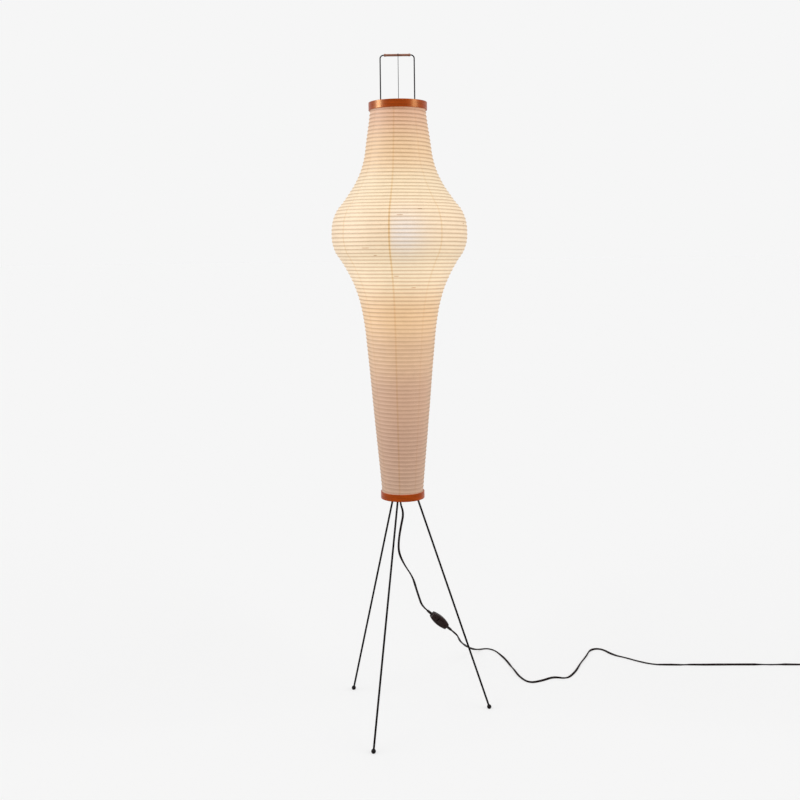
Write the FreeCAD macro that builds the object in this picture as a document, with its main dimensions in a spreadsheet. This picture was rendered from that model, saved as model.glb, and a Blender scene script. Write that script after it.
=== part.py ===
"""Paper lantern floor lamp: ribbed paper shade on a wire tripod, with its flex, switch and plug.

Millimetres, +Z up. The origin is on the floor, on the lantern's vertical axis.
+X is to the right and -Y towards the front of the lamp.
"""
import FreeCAD, Part
import math
import os

import Sketcher

Vector = FreeCAD.Vector
UP = Vector(0, 0, 1)

DRIVING_SIZES = (
    # tripod
    ("foot_circle_radius", 240.0, "axis to the middle of a ball foot"),
    ("front_foot_angle", -20.5, "degrees from straight ahead to the front foot"),
    ("leg_apex_above_ring", 121.0, "where the three leg axes meet, above the bottom ring's foot"),
    ("leg_diameter", 5.5, "steel rod"),
    ("ball_diameter", 12.5, "ball foot"),
    ("ball_flat_depth", 0.5, "flat that the ball stands on"),
    ("ball_socket_depth", 7.0, "hole in the ball for the leg"),
    ("hub_top_above_apex", 7.0, "hub's upper face"),
    ("hub_height", 53.0, "turned hub"),
    ("hub_top_radius", 12.0, ""),
    ("hub_bottom_radius", 21.5, ""),
    ("hub_rim_height", 8.0, "straight band at the hub's foot"),
    ("leg_end_below_apex", 21.0, "upper end of a leg's socket"),
    ("leg_socket_clearance", 0.15, "radial, leg in hub, ball and ring clip"),
    ("grub_screw_diameter", 4.0, "locks a leg in the hub"),
    ("grub_screw_length", 5.0, ""),
    # column
    ("stem_diameter", 10.0, "threaded tube"),
    ("stem_wall", 1.0, ""),
    ("stem_thread_depth", 14.0, "length screwed into the hub"),
    ("stem_in_holder", 8.7, "length of the tube inside the lampholder"),
    ("thread_clearance", 0.12, "radial, on the tube and the small threads"),
    ("saddle_height", 1236.0, "underside of the saddle bar"),
    ("saddle_length", 110.0, ""),
    ("saddle_width", 16.0, ""),
    ("saddle_thickness", 3.0, ""),
    ("stem_nut_across", 16.0, "hexagon nut, corner to corner"),
    ("stem_nut_height", 5.0, ""),
    # bow and the hanger
    ("bow_wire_diameter", 3.5, "wire that holds the lantern up"),
    ("bow_rise", 138.0, "top of the hook on the grip, above the top ring"),
    ("bow_width", 95.2, "between the wire axes"),
    ("bow_corner_radius", 9.5, "to the wire axis"),
    ("bow_thread_below_saddle", 7.0, "wire end under the saddle bar"),
    ("bow_nut_across", 7.0, "corner to corner"),
    ("bow_nut_height", 2.6, ""),
    ("grip_diameter", 6.8, "sleeve on the bow's bar"),
    ("grip_collar_diameter", 8.0, "rolled end of the sleeve"),
    ("grip_collar_length", 6.0, ""),
    ("grip_end_gap", 1.0, "bare wire between corner and sleeve"),
    ("grip_bore_clearance", 0.15, "radial"),
    ("hanger_wire_diameter", 1.6, "thin wire down to the crossbar"),
    ("hook_clearance", 0.25, "between a hook and what it hangs on"),
    ("hook_tip_length", 4.0, "straight end of a hook"),
    ("crossbar_diameter", 3.0, ""),
    ("crossbar_above_ring_foot", 16.0, "height in the top ring"),
    ("crossbar_seat_depth", 3.6, "blind hole in the ring"),
    # rings
    ("top_ring_diameter", 163.6, "bent wooden hoop"),
    ("top_ring_height", 22.0, ""),
    ("top_ring_foot_height", 1690.0, "lower edge above the floor"),
    ("bottom_ring_diameter", 121.6, ""),
    ("bottom_ring_height", 19.5, ""),
    ("bottom_ring_foot_height", 610.0, "lower edge above the floor"),
    ("ring_wall", 6.0, ""),
    ("ring_lip", 2.6, "wood left outside the paper's rebate"),
    ("rebate_depth", 12.0, "how far the paper goes into a ring"),
    ("paper_gap", 0.3, "glue line between paper and ring"),
    # paper
    ("paper_wall", 0.9, "washi with its ribs and glue"),
    ("gore_count", 8.0, "paper strips side by side round the shade"),
    ("first_seam_angle", -8.3, "degrees from straight ahead to the first seam"),
    # clips in the bottom ring
    ("clip_height_in_ring", 8.0, "tongue above the ring's foot"),
    ("clip_thickness", 2.0, ""),
    ("clip_width", 14.0, ""),
    ("clip_flange_foot", 1.0, "above the ring's foot"),
    ("clip_screw_diameter", 2.6, ""),
    ("clip_screw_head_diameter", 5.0, ""),
    ("clip_screw_crown_diameter", 3.4, ""),
    ("clip_screw_head_height", 1.6, ""),
    ("clip_screw_seat_gap", 0.02, "under the head"),
    ("clip_screw_depth", 3.5, "length in the wood"),
    # lampholder and bulb
    ("holder_radius", 19.5, "outside of the shell"),
    ("holder_wall", 2.0, ""),
    ("holder_cap_height", 18.0, ""),
    ("holder_shell_height", 38.0, ""),
    ("holder_neck_radius", 10.7, "small end of the cap's cone"),
    ("holder_cone_height", 10.8, ""),
    ("holder_lip_height", 7.6, "tapered end of the shell"),
    ("holder_core_height", 6.0, "insulating disc"),
    ("joint_gap", 0.3, "between faces that are screwed together"),
    ("lamp_cap_radius", 13.1, "screw cap of the bulb"),
    ("lamp_cap_height", 24.0, ""),
    ("lamp_cap_taper", 6.0, "cone at the cap's tip"),
    ("lamp_thread_gap", 0.35, "radial, cap in its threaded shell"),
    ("lamp_shell_wall", 0.5, ""),
    ("bulb_radius", 30.0, "globe of the bulb"),
    ("bulb_neck_radius", 14.0, ""),
    ("bulb_length", 84.0, "glass above the cap"),
    ("bulb_shoulder_angle", 38.0, "degrees below the globe's middle"),
    ("contact_radius", 5.0, ""),
    ("contact_height", 3.0, ""),
    # flex
    ("cord_diameter", 5.0, "two-core flex"),
    ("hub_gland_radius", 8.0, ""),
    ("hub_gland_length", 30.0, "tapered strain relief"),
    ("relief_wall", 1.0, "rubber at the thin end of a strain relief"),
    ("lead_bore_clearance", 0.5, "radial, inner lead in tube and hub"),
    ("coil_outer_radius", 31.0, "to the cord's axis"),
    ("coil_pitch", 5.7, "from turn to turn and layer to layer"),
    ("coil_turns", 3.25, ""),
    ("coil_axis_height", 3.1, "lower layer above the floor"),
    ("coil_tail_length", 12.0, ""),
    ("tie_thickness", 0.5, ""),
    ("tie_width", 6.0, ""),
    # switch
    ("switch_length", 64.0, ""),
    ("switch_width", 27.0, "at the middle"),
    ("switch_end_width", 17.0, ""),
    ("switch_screw_offset", 20.0, "from the middle to each screw"),
    ("switch_rim_radius", 4.0, "rounding of the housing's outer rim"),
    ("switch_half_height", 8.5, "each half of the housing"),
    ("switch_wall", 2.0, ""),
    ("rocker_length", 18.0, ""),
    ("rocker_foot_length", 10.8, "at the inner end"),
    ("rocker_width", 11.0, ""),
    ("rocker_clearance", 0.5, ""),
    ("rocker_rise", 2.6, "above the cover at rest"),
    ("rocker_throw", 16.0, "degrees from on to off"),
    ("rocker_pin_diameter", 2.0, ""),
    ("switch_screw_diameter", 3.0, ""),
    ("contact_strip_length", 6.0, "brass strip under the rocker"),
    ("contact_strip_width", 5.5, ""),
    ("contact_strip_thickness", 1.0, ""),
    ("switch_relief_length", 19.0, "outside the housing"),
    ("switch_relief_radius", 4.2, ""),
    # plug
    ("plug_length", 36.0, ""),
    ("plug_width", 26.0, ""),
    ("plug_waist", 16.0, "width at the flex end"),
    ("plug_waist_length", 16.2, "from the flex end to the full width"),
    ("plug_corner_length", 4.0, "cut off along the plug"),
    ("plug_corner_width", 3.0, "cut off across the plug"),
    ("plug_rounding", 2.0, "edge of the two flat faces"),
    ("plug_pin_diameter", 4.0, ""),
    ("plug_pin_length", 19.0, ""),
    ("plug_pin_spacing", 19.0, ""),
    ("plug_relief_length", 24.0, ""),
    ("plug_relief_radius", 5.5, ""),
)

# The paper's meridian: depth below the top ring's foot, and radius.
SHADE_STATIONS = (
    (81.0, 89.5), (148.0, 100.5), (199.0, 120.5), (249.0, 152.5), (288.0, 179.5),
    (340.0, 190.0), (388.0, 182.5), (424.0, 160.5), (468.0, 136.5), (518.0, 117.5),
    (585.0, 103.0), (669.0, 93.5), (837.0, 78.2),
)

# Where the flex hangs and lies, each point chosen by hand.
SWITCH_CENTRE = Vector(103, 170, 207.5)
SWITCH_AXIS = Vector(0.687, 0.283, -0.668).normalize()
UPPER_ROUTE = (
    (0, 0, 633), (-9, 0, 598), (2, 0, 566), (-6, 0, 531), (-13, 0, 492), (-14, 4, 455),
    (2, 18, 416), (25, 45, 374), (35, 86, 328), (44, 122, 289),
)
LOWER_ROUTE = (
    (162, 232, 133), (170, 288, 102), (186, 348, 69), (203, 408, 39), (222, 459, 14),
    (243, 490, 2.5), (268, 498, 2.5), (291, 480, 2.5), (308, 438, 2.5), (322, 384, 2.5),
    (335, 320, 2.5), (348, 252, 2.5), (372, 210, 2.5), (412, 226, 2.5), (448, 254, 2.5),
    (488, 240, 2.5), (520, 286, 2.5), (546, 354, 2.5), (577, 418, 2.5), (600, 476, 2.5),
    (638, 484, 2.5), (662, 426, 2.5), (700, 402, 2.5), (732, 370, 2.5), (765, 347, 2.5),
    (810, 338, 2.5),
)
COIL_START = Vector(1283, 324.5, 3.1)
RUN_BEFORE_SWITCH = 22.0
RUN_AFTER_SWITCH = 26.0
CORD_SIDES = 8
BEND_SHARE = 0.45
REVERSAL = 0.25

# Heights on the axis, as expressions.
HUB_TOP = "Sizes.bottom_ring_foot_height + Sizes.leg_apex_above_ring + Sizes.hub_top_above_apex"
STEM_FOOT = f"{HUB_TOP} - Sizes.stem_thread_depth + Sizes.thread_clearance"
STEM_TOP = ("Sizes.saddle_height + Sizes.saddle_thickness + Sizes.stem_nut_height"
            " + Sizes.joint_gap + Sizes.stem_in_holder")

document = FreeCAD.newDocument("PaperLanternFloorLamp")
sheet = document.addObject("Spreadsheet::Sheet", "Sizes")
for row, (alias, size, remark) in enumerate(DRIVING_SIZES, start=1):
    sheet.set(f"A{row}", alias)
    sheet.set(f"B{row}", str(size))
    sheet.set(f"C{row}", remark)
    sheet.setAlias(f"B{row}", alias)
document.recompute()

subparts = []


def value(alias):
    """The number in one cell of the sheet."""
    return float(sheet.get(alias))


def keep(item, label):
    """Name a finished sub-part, so that it is written to a file of its own."""
    item.Label = label
    subparts.append(item)
    return item


def along(start, direction):
    """The placement that puts local Z along a direction."""
    return FreeCAD.Placement(start, FreeCAD.Rotation(UP, direction))


# ---------------------------------------------------------------- sketches and bodies

def sketch_on(body, role, name):
    """A sketch on one of the body's own origin planes."""
    sketch = body.newObject("Sketcher::SketchObject", name)
    plane = [item for item in body.Origin.OriginFeatures if item.Role == role][0]
    sketch.AttachmentSupport = [(plane, "")]
    sketch.MapMode = "FlatFace"
    return sketch


def pin_point(sketch, element, point, place):
    """Fix a sketch point at two expressions measured from the sketch's origin."""
    for kind, axis, expression in (("DistanceX", -2, place[0]), ("DistanceY", -1, place[1])):
        if expression == "0":
            sketch.addConstraint(Sketcher.Constraint("PointOnObject", element, point, axis))
            continue
        index = sketch.addConstraint(Sketcher.Constraint(kind, -1, 1, element, point, 10.0))
        sketch.setExpression(f"Constraints[{index}]", expression)


def outline(sketch, corners):
    """A closed outline of straight lines whose corners are pairs of expressions."""
    first = sketch.GeometryCount
    count = len(corners)
    for index in range(count):
        start = Vector(10 + index, 5 * index, 0)
        end_index = (index + 1) % count
        sketch.addGeometry(Part.LineSegment(start, Vector(10 + end_index, 5 * end_index, 0)), False)
    for index in range(count):
        following = first + (index + 1) % count
        sketch.addConstraint(Sketcher.Constraint("Coincident", first + index, 2, following, 1))
    for index, corner in enumerate(corners):
        pin_point(sketch, first + index, 1, corner)


def ring_mark(sketch, centre, radius):
    """A circle with its centre and radius bound to expressions."""
    index = sketch.addGeometry(Part.Circle(Vector(1, 1, 0), UP, 2.0), False)
    pin_point(sketch, index, 3, centre)
    bound = sketch.addConstraint(Sketcher.Constraint("Radius", index, 2.0))
    sketch.setExpression(f"Constraints[{bound}]", radius)


def turned_body(name, corners, base_height="0"):
    """A body turned about the lantern's axis; corners are radius and height expressions."""
    body = document.addObject("PartDesign::Body", f"{name}_body")
    sketch = sketch_on(body, "XZ_Plane", f"{name}_section")
    outline(sketch, corners)
    turning = body.newObject("PartDesign::Revolution", f"{name}_turning")
    turning.Profile = sketch
    turning.ReferenceAxis = (sketch, ["V_Axis"])
    turning.Angle = 360
    if base_height != "0":
        body.setExpression("Placement.Base.z", base_height)
    return body


def padded_body(name, corners, height, role="XY_Plane", holes=()):
    """A body padded from an outline, with round holes through it."""
    body = document.addObject("PartDesign::Body", f"{name}_body")
    sketch = sketch_on(body, role, f"{name}_outline")
    outline(sketch, corners)
    for centre, radius in holes:
        ring_mark(sketch, centre, radius)
    pad = body.newObject("PartDesign::Pad", f"{name}_pad")
    pad.Profile = sketch
    pad.setExpression("Length", height)
    return body


# ---------------------------------------------------------------- primitives and booleans

def rod(name, radius, height, placement=None):
    """A cylinder whose radius and height are expressions."""
    cylinder = document.addObject("Part::Cylinder", name)
    cylinder.setExpression("Radius", radius)
    cylinder.setExpression("Height", height)
    if placement is not None:
        cylinder.Placement = placement
    return cylinder


def cut(name, base, tool):
    """Base less tool."""
    result = document.addObject("Part::Cut", name)
    result.Base = base
    result.Tool = tool
    return result


def fuse(name, shapes):
    """Several solids made one."""
    result = document.addObject("Part::MultiFuse", name)
    result.Shapes = shapes
    return result


def group(name, links):
    """Identical pieces that share one node."""
    result = document.addObject("Part::Compound", name)
    result.Links = links
    return result


def shaped(name, shape):
    """A feature whose shape is worked out from the sheet's values."""
    feature = document.addObject("Part::Feature", name)
    feature.Shape = shape
    return feature


def hexagon_nut(name, across, bore, height, placement):
    """A plain hexagon nut."""
    blank = document.addObject("Part::Prism", f"{name}_blank")
    blank.Polygon = 6
    blank.setExpression("Circumradius", f"{across} / 2")
    blank.setExpression("Height", height)
    hole = rod(f"{name}_hole", bore, height)
    nut = cut(name, blank, hole)
    nut.Placement = placement
    return nut


# ---------------------------------------------------------------- tubes on straight runs and arcs

def arc_route(points, name):
    """Straight runs joined by tangent arcs, each taking its share of the shorter run."""
    edges = []
    radii = []
    start = points[0]
    for before, corner, after in zip(points, points[1:], points[2:]):
        incoming = corner - before
        outgoing = after - corner
        half_turn = incoming.getAngle(outgoing) / 2
        reach = BEND_SHARE * min(incoming.Length, outgoing.Length)
        radii.append(reach / math.tan(half_turn))
        incoming.normalize()
        outgoing.normalize()
        entry = corner - incoming * reach
        leaving = corner + outgoing * reach
        inward = (outgoing - incoming).normalize()
        to_corner = radii[-1] / math.cos(half_turn) - radii[-1]
        edges.append(Part.LineSegment(start, entry).toShape())
        edges.append(Part.Arc(entry, corner + inward * to_corner, leaving).toShape())
        start = leaving
    edges.append(Part.LineSegment(start, points[-1]).toShape())
    print(f"{name}: smallest bend radius {min(radii):.1f} mm")
    return edges


def tube(edges, radius, name, sides=0):
    """A tube along a wire, round or with flat sides; its volume is compared with section times length."""
    path = Part.Wire(edges)
    first = path.OrderedEdges[0]
    start = first.valueAt(first.FirstParameter)
    section = Part.Circle(start, first.tangentAt(first.FirstParameter), radius).toShape()
    if sides:
        corners = section.discretize(Number=sides + 1)
        section = Part.makePolygon(corners[:-1] + corners[:1])
    section = Part.Wire(section.Edges)
    shape = path.makePipeShell([section], True, False)
    expected = Part.Face(section).Area * path.Length
    print(f"{name}: length {path.Length:.1f} mm, volume {shape.Volume / expected:.4f} of section x length")
    return shape


def arc_with_tangent(start, tangent, end):
    """The arc from start to end that leaves start along the tangent."""
    chord = end - start
    angle = tangent.getAngle(chord)
    sideways = tangent - chord * (tangent.dot(chord) / chord.dot(chord))
    middle = (start + end) * 0.5 + sideways.normalize() * (0.5 * chord.Length * math.tan(angle / 2))
    return Part.Arc(start, middle, end).toShape()


def biarc(start, start_tangent, end, end_tangent):
    """Two arcs that join two points and meet their tangents."""
    chord = end - start
    total = start_tangent + end_tangent
    spread = 2 * (1 - start_tangent.dot(end_tangent))
    along_total = chord.dot(total)
    reach = (math.sqrt(along_total ** 2 + spread * chord.dot(chord)) - along_total) / spread
    joint = (start + end + (start_tangent - end_tangent) * reach) * 0.5
    second = arc_with_tangent(end, -end_tangent, joint)
    return [arc_with_tangent(start, start_tangent, joint), second]


# ---------------------------------------------------------------- tripod

apex = Vector(0, 0, value("bottom_ring_foot_height") + value("leg_apex_above_ring"))
ball_centre_height = value("ball_diameter") / 2 - value("ball_flat_depth")
foot_names = ("front", "right", "rear")
leg_lines = []
for index in range(3):
    angle = math.radians(value("front_foot_angle") + 120 * index)
    reach = value("foot_circle_radius")
    foot = Vector(reach * math.sin(angle), -reach * math.cos(angle), ball_centre_height)
    leg_lines.append((foot, (apex - foot).normalize()))


def point_on_leg(line, height):
    """Where a leg's axis passes a height."""
    foot, direction = line
    return foot + direction * ((height - foot.z) / direction.z)


def make_legs():
    """Three straight rods from their balls up into the hub."""
    socket_top = apex.z - value("leg_end_below_apex")
    into_ball = value("ball_diameter") / 2 - value("ball_socket_depth")
    for name, line in zip(foot_names, leg_lines):
        foot, direction = line
        start = foot + direction * (into_ball + value("leg_socket_clearance"))
        end = point_on_leg(line, socket_top) - direction * value("leg_socket_clearance")
        leg = rod(f"leg_{name}_rod", "Sizes.leg_diameter / 2", "1 mm", along(start, direction))
        leg.clearExpression("Height")
        leg.Height = (end - start).Length
        keep(leg, f"leg_{name}")


def make_ball_feet():
    """Three drilled balls, each flat where it stands."""
    balls = []
    for name, line in zip(foot_names, leg_lines):
        foot, direction = line
        ball = document.addObject("Part::Sphere", f"ball_{name}_blank")
        ball.setExpression("Radius", "Sizes.ball_diameter / 2")
        ball.Placement.Base = foot
        bottom = foot + direction * (value("ball_diameter") / 2 - value("ball_socket_depth"))
        hole = rod(f"ball_{name}_hole", "Sizes.leg_diameter / 2 + Sizes.leg_socket_clearance",
                   "Sizes.ball_diameter", along(bottom, direction))
        drilled = cut(f"ball_{name}_drilled", ball, hole)
        under = document.addObject("Part::Box", f"ball_{name}_floor")
        for side in ("Length", "Width", "Height"):
            under.setExpression(side, "Sizes.ball_diameter")
        half = value("ball_diameter") / 2
        under.Placement.Base = Vector(foot.x - half, foot.y - half, -2 * half)
        balls.append(cut(f"ball_{name}", drilled, under))
    keep(group("ball_feet_group", balls), "ball_feet")


def make_hub():
    """The turned hub that the legs, the column and the flex meet in."""
    blank = turned_body("hub", (
        ("Sizes.cord_diameter / 2 + Sizes.lead_bore_clearance", "0"),
        ("Sizes.hub_bottom_radius", "0"),
        ("Sizes.hub_bottom_radius", "Sizes.hub_rim_height"),
        ("Sizes.hub_top_radius", "Sizes.hub_height"),
        ("Sizes.stem_diameter / 2 + Sizes.thread_clearance", "Sizes.hub_height"),
        ("Sizes.stem_diameter / 2 + Sizes.thread_clearance", "Sizes.hub_height - Sizes.stem_thread_depth"),
        ("Sizes.cord_diameter / 2 + Sizes.lead_bore_clearance",
         "Sizes.hub_height - Sizes.stem_thread_depth"),
    ), f"{HUB_TOP} - Sizes.hub_height")
    drills = []
    screws = []
    socket_top = apex.z - value("leg_end_below_apex")
    hub_foot = apex.z + value("hub_top_above_apex") - value("hub_height")
    for name, line in zip(foot_names, leg_lines):
        below = point_on_leg(line, hub_foot) - line[1] * value("leg_diameter")
        drills.append(rod(f"hub_socket_{name}", "Sizes.leg_diameter / 2 + Sizes.leg_socket_clearance",
                          "Sizes.hub_height", along(below, line[1])))
        drills[-1].clearExpression("Height")
        drills[-1].Height = (point_on_leg(line, socket_top) - below).Length
        middle = point_on_leg(line, hub_foot + value("hub_rim_height"))
        outward = Vector(middle.x, middle.y, 0).normalize()
        slope = math.tan(UP.getAngle(line[1]))
        seat = middle + outward * (value("leg_diameter") / 2 + value("leg_socket_clearance")
                                   + slope * value("grub_screw_diameter") / 2)
        drills.append(rod(f"hub_tapping_{name}", "Sizes.grub_screw_diameter / 2 + Sizes.thread_clearance",
                          "Sizes.hub_bottom_radius", along(seat, outward)))
        tip = seat + outward * value("thread_clearance")
        screws.append(rod(f"grub_screw_{name}", "Sizes.grub_screw_diameter / 2",
                          "Sizes.grub_screw_length", along(tip, outward)))
    keep(cut("hub_drilled", blank, fuse("hub_drills", drills)), "leg_hub")
    keep(group("grub_screw_group", screws), "hub_grub_screws")


# ---------------------------------------------------------------- column, saddle, bow and hanger

saddle_top = value("saddle_height") + value("saddle_thickness")
bar_height = (value("top_ring_foot_height") + value("top_ring_height") + value("bow_rise")
              - value("grip_diameter") / 2 - value("hook_clearance") - value("hanger_wire_diameter"))
crossbar_height = value("top_ring_foot_height") + value("crossbar_above_ring_foot")


def make_column():
    """The threaded tube, the saddle bar on it and the nuts that clamp the bar."""
    tall = f"{STEM_TOP} - ({STEM_FOOT})"
    stem = turned_body("stem", (
        ("Sizes.stem_diameter / 2 - Sizes.stem_wall", "0"), ("Sizes.stem_diameter / 2", "0"),
        ("Sizes.stem_diameter / 2", tall), ("Sizes.stem_diameter / 2 - Sizes.stem_wall", tall),
    ), STEM_FOOT)
    keep(stem, "stem_tube")
    hole = "Sizes.bow_wire_diameter / 2 + Sizes.thread_clearance"
    half_length = "Sizes.saddle_length / 2"
    half_width = "Sizes.saddle_width / 2"
    saddle = padded_body("saddle", (
        (half_length, half_width), (f"-{half_length}", half_width),
        (f"-{half_length}", f"-{half_width}"), (half_length, f"-{half_width}"),
    ), "Sizes.saddle_thickness", holes=(
        (("0", "0"), "Sizes.stem_diameter / 2 + Sizes.thread_clearance"),
        (("Sizes.bow_width / 2", "0"), hole), (("-Sizes.bow_width / 2", "0"), hole),
    ))
    saddle.setExpression("Placement.Base.z", "Sizes.saddle_height")
    keep(saddle, "saddle_bar")
    heights = (value("saddle_height") - value("stem_nut_height"), saddle_top)
    nuts = [hexagon_nut(f"stem_nut_{index}", "Sizes.stem_nut_across",
                        "Sizes.stem_diameter / 2 + Sizes.thread_clearance", "Sizes.stem_nut_height",
                        along(Vector(0, 0, height), UP)) for index, height in enumerate(heights)]
    keep(group("stem_nut_group", nuts), "stem_nuts")


def make_bow():
    """The wire bow from the saddle up through the top ring, its nuts and its grip."""
    half = value("bow_width") / 2
    corner = value("bow_corner_radius")
    low = value("saddle_height") - value("bow_thread_below_saddle")
    lean = corner * math.sqrt(0.5)
    edges = [Part.LineSegment(Vector(-half, 0, low), Vector(-half, 0, bar_height - corner)).toShape()]
    for side in (-1, 1):
        outer = Vector(side * half, 0, bar_height - corner)
        inner = Vector(side * (half - corner), 0, bar_height)
        middle = Vector(side * (half - corner + lean), 0, bar_height - corner + lean)
        ends = (outer, inner) if side < 0 else (inner, outer)
        edges.append(Part.Arc(ends[0], middle, ends[1]).toShape())
        if side < 0:
            edges.append(Part.LineSegment(inner, Vector(half - corner, 0, bar_height)).toShape())
    edges.append(Part.LineSegment(Vector(half, 0, bar_height - corner), Vector(half, 0, low)).toShape())
    keep(shaped("bow_wire", tube(edges, value("bow_wire_diameter") / 2, "bow")), "bow")
    nuts = []
    for side in (-1, 1):
        for height in (value("saddle_height") - value("bow_nut_height"), saddle_top):
            nuts.append(hexagon_nut(f"bow_nut_{len(nuts)}", "Sizes.bow_nut_across",
                                    "Sizes.bow_wire_diameter / 2 + Sizes.thread_clearance",
                                    "Sizes.bow_nut_height", along(Vector(side * half, 0, height), UP)))
    keep(group("bow_nut_group", nuts), "bow_nuts")


def make_grip():
    """The sleeve on the bow's bar, with a rolled collar at each end."""
    length = "(Sizes.bow_width - 2 * Sizes.bow_corner_radius - 2 * Sizes.grip_end_gap)"
    bore = "Sizes.bow_wire_diameter / 2 + Sizes.grip_bore_clearance"
    thin = "Sizes.grip_diameter / 2"
    thick = "Sizes.grip_collar_diameter / 2"
    collar = "Sizes.grip_collar_length"
    grip = turned_body("grip", (
        (bore, "0"), (thin, "0"), (thick, f"{collar} / 3"), (thin, collar),
        (thin, f"{length} - {collar}"), (thick, f"{length} - {collar} / 3"), (thin, length),
        (bore, length),
    ))
    start = value("bow_width") / 2 - value("bow_corner_radius") - value("grip_end_gap")
    grip.Placement = along(Vector(-start, 0, bar_height), Vector(1, 0, 0))
    keep(grip, "bow_grip")


def make_hanger():
    """The thin wire hooked over the grip at the top and under the crossbar at the foot."""
    wire = value("hanger_wire_diameter") / 2
    over = value("grip_diameter") / 2 + value("hook_clearance") + wire
    under = value("crossbar_diameter") / 2 + value("hook_clearance") + wire
    tip = value("hook_tip_length")
    top_points = (Vector(under, -over, bar_height), Vector(under, 0, bar_height + over),
                  Vector(under, over, bar_height))
    foot_points = (Vector(under, over, crossbar_height), Vector(0, over, crossbar_height - under),
                   Vector(-under, over, crossbar_height))
    edges = [
        Part.LineSegment(top_points[0] - UP * tip, top_points[0]).toShape(),
        Part.Arc(*top_points).toShape(),
        Part.LineSegment(top_points[2], foot_points[0]).toShape(),
        Part.Arc(*foot_points).toShape(),
        Part.LineSegment(foot_points[2], foot_points[2] + UP * tip).toShape(),
    ]
    keep(shaped("hanger", tube(edges, wire, "hanger")), "hanger_wire")
    seat = value("top_ring_diameter") / 2 - value("ring_wall") + value("crossbar_seat_depth")
    half = seat - value("joint_gap")
    bar = rod("crossbar", "Sizes.crossbar_diameter / 2", "1 mm",
              along(Vector(0, -half, crossbar_height), Vector(0, 1, 0)))
    bar.clearExpression("Height")
    bar.Height = 2 * half
    keep(bar, "top_crossbar")


# ---------------------------------------------------------------- rings, clips and paper

def ring_section(ring, rebate_at_top):
    """The hoop's section: a wall with a rebate on its inside for the paper."""
    outer = f"Sizes.{ring}_diameter / 2"
    inner = f"Sizes.{ring}_diameter / 2 - Sizes.ring_wall"
    lip = f"Sizes.{ring}_diameter / 2 - Sizes.ring_lip"
    tall = f"Sizes.{ring}_height"
    if rebate_at_top:
        step = f"{tall} - Sizes.rebate_depth"
        return ((inner, "0"), (outer, "0"), (outer, tall), (lip, tall), (lip, step), (inner, step))
    step = "Sizes.rebate_depth"
    return ((lip, "0"), (outer, "0"), (outer, tall), (inner, tall), (inner, step), (lip, step))


def make_rings():
    """The two bent hoops, drilled for the crossbar and for the clip screws."""
    top = turned_body("top_ring", ring_section("top_ring", False), "Sizes.top_ring_foot_height")
    seat = value("top_ring_diameter") / 2 - value("ring_wall") + value("crossbar_seat_depth")
    hole = rod("crossbar_hole", "Sizes.crossbar_diameter / 2 + Sizes.leg_socket_clearance", "1 mm",
               along(Vector(0, -seat, crossbar_height), Vector(0, 1, 0)))
    hole.clearExpression("Height")
    hole.Height = 2 * seat
    keep(cut("top_ring_drilled", top, hole), "top_ring")
    bottom = turned_body("bottom_ring", ring_section("bottom_ring", True), "Sizes.bottom_ring_foot_height")
    keep(cut("bottom_ring_drilled", bottom, fuse("clip_screw_holes", clip_holes)), "bottom_ring")


clip_holes = []


def make_ring_clips():
    """Three bent clips screwed inside the bottom ring, each with a hole that a leg passes through."""
    clips = []
    screws = []
    inner = value("bottom_ring_diameter") / 2 - value("ring_wall")
    thick = value("clip_thickness")
    width = value("clip_width")
    tongue = value("bottom_ring_foot_height") + value("clip_height_in_ring")
    face = math.sqrt(inner ** 2 - (width / 2) ** 2) - value("thread_clearance")
    flange_foot = value("bottom_ring_foot_height") + value("clip_flange_foot")
    through = 3 * thick
    for index, (name, line) in enumerate(zip(foot_names, leg_lines)):
        centre = point_on_leg(line, tongue + thick / 2)
        turn = math.degrees(math.atan2(centre.y, centre.x))
        inner_end = math.hypot(centre.x, centre.y) - width / 2
        plate = Part.makeBox(face - inner_end, width, thick, Vector(inner_end, -width / 2, tongue))
        flange = Part.makeBox(thick, width, tongue - flange_foot + thick,
                              Vector(face - thick, -width / 2, flange_foot))
        clip = plate.fuse(flange).removeSplitter()
        clip.rotate(Vector(0, 0, 0), UP, turn)
        bore = Part.makeCylinder(value("leg_diameter") / 2 + value("leg_socket_clearance"), 2 * through,
                                 centre - line[1] * through, line[1])
        outward = Vector(math.cos(math.radians(turn)), math.sin(math.radians(turn)), 0)
        screw_height = (flange_foot + tongue) / 2
        shank = value("clip_screw_diameter") / 2
        head_seat = outward * (face - thick) + UP * screw_height
        hole = Part.makeCylinder(shank + value("thread_clearance"), through,
                                 head_seat - outward * thick, outward)
        clips.append(clip.cut(bore).cut(hole))
        under_head = head_seat - outward * value("clip_screw_seat_gap")
        head = Part.makeCone(value("clip_screw_head_diameter") / 2,
                             value("clip_screw_crown_diameter") / 2,
                             value("clip_screw_head_height"), under_head, -outward)
        body = Part.makeCylinder(shank, inner - face + thick + value("clip_screw_depth"),
                                 under_head, outward)
        screws.append(head.fuse(body))
        depth = inner + value("clip_screw_depth") + value("thread_clearance")
        clip_holes.append(rod(f"clip_screw_hole_{name}",
                              "Sizes.clip_screw_diameter / 2 + Sizes.thread_clearance", "1 mm",
                              along(head_seat, outward)))
        clip_holes[-1].clearExpression("Height")
        clip_holes[-1].Height = depth - face + thick
    keep(shaped("ring_clip_group", Part.makeCompound(clips)), "ring_clips")
    keep(shaped("clip_screw_group", Part.makeCompound(screws)), "clip_screws")


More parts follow.
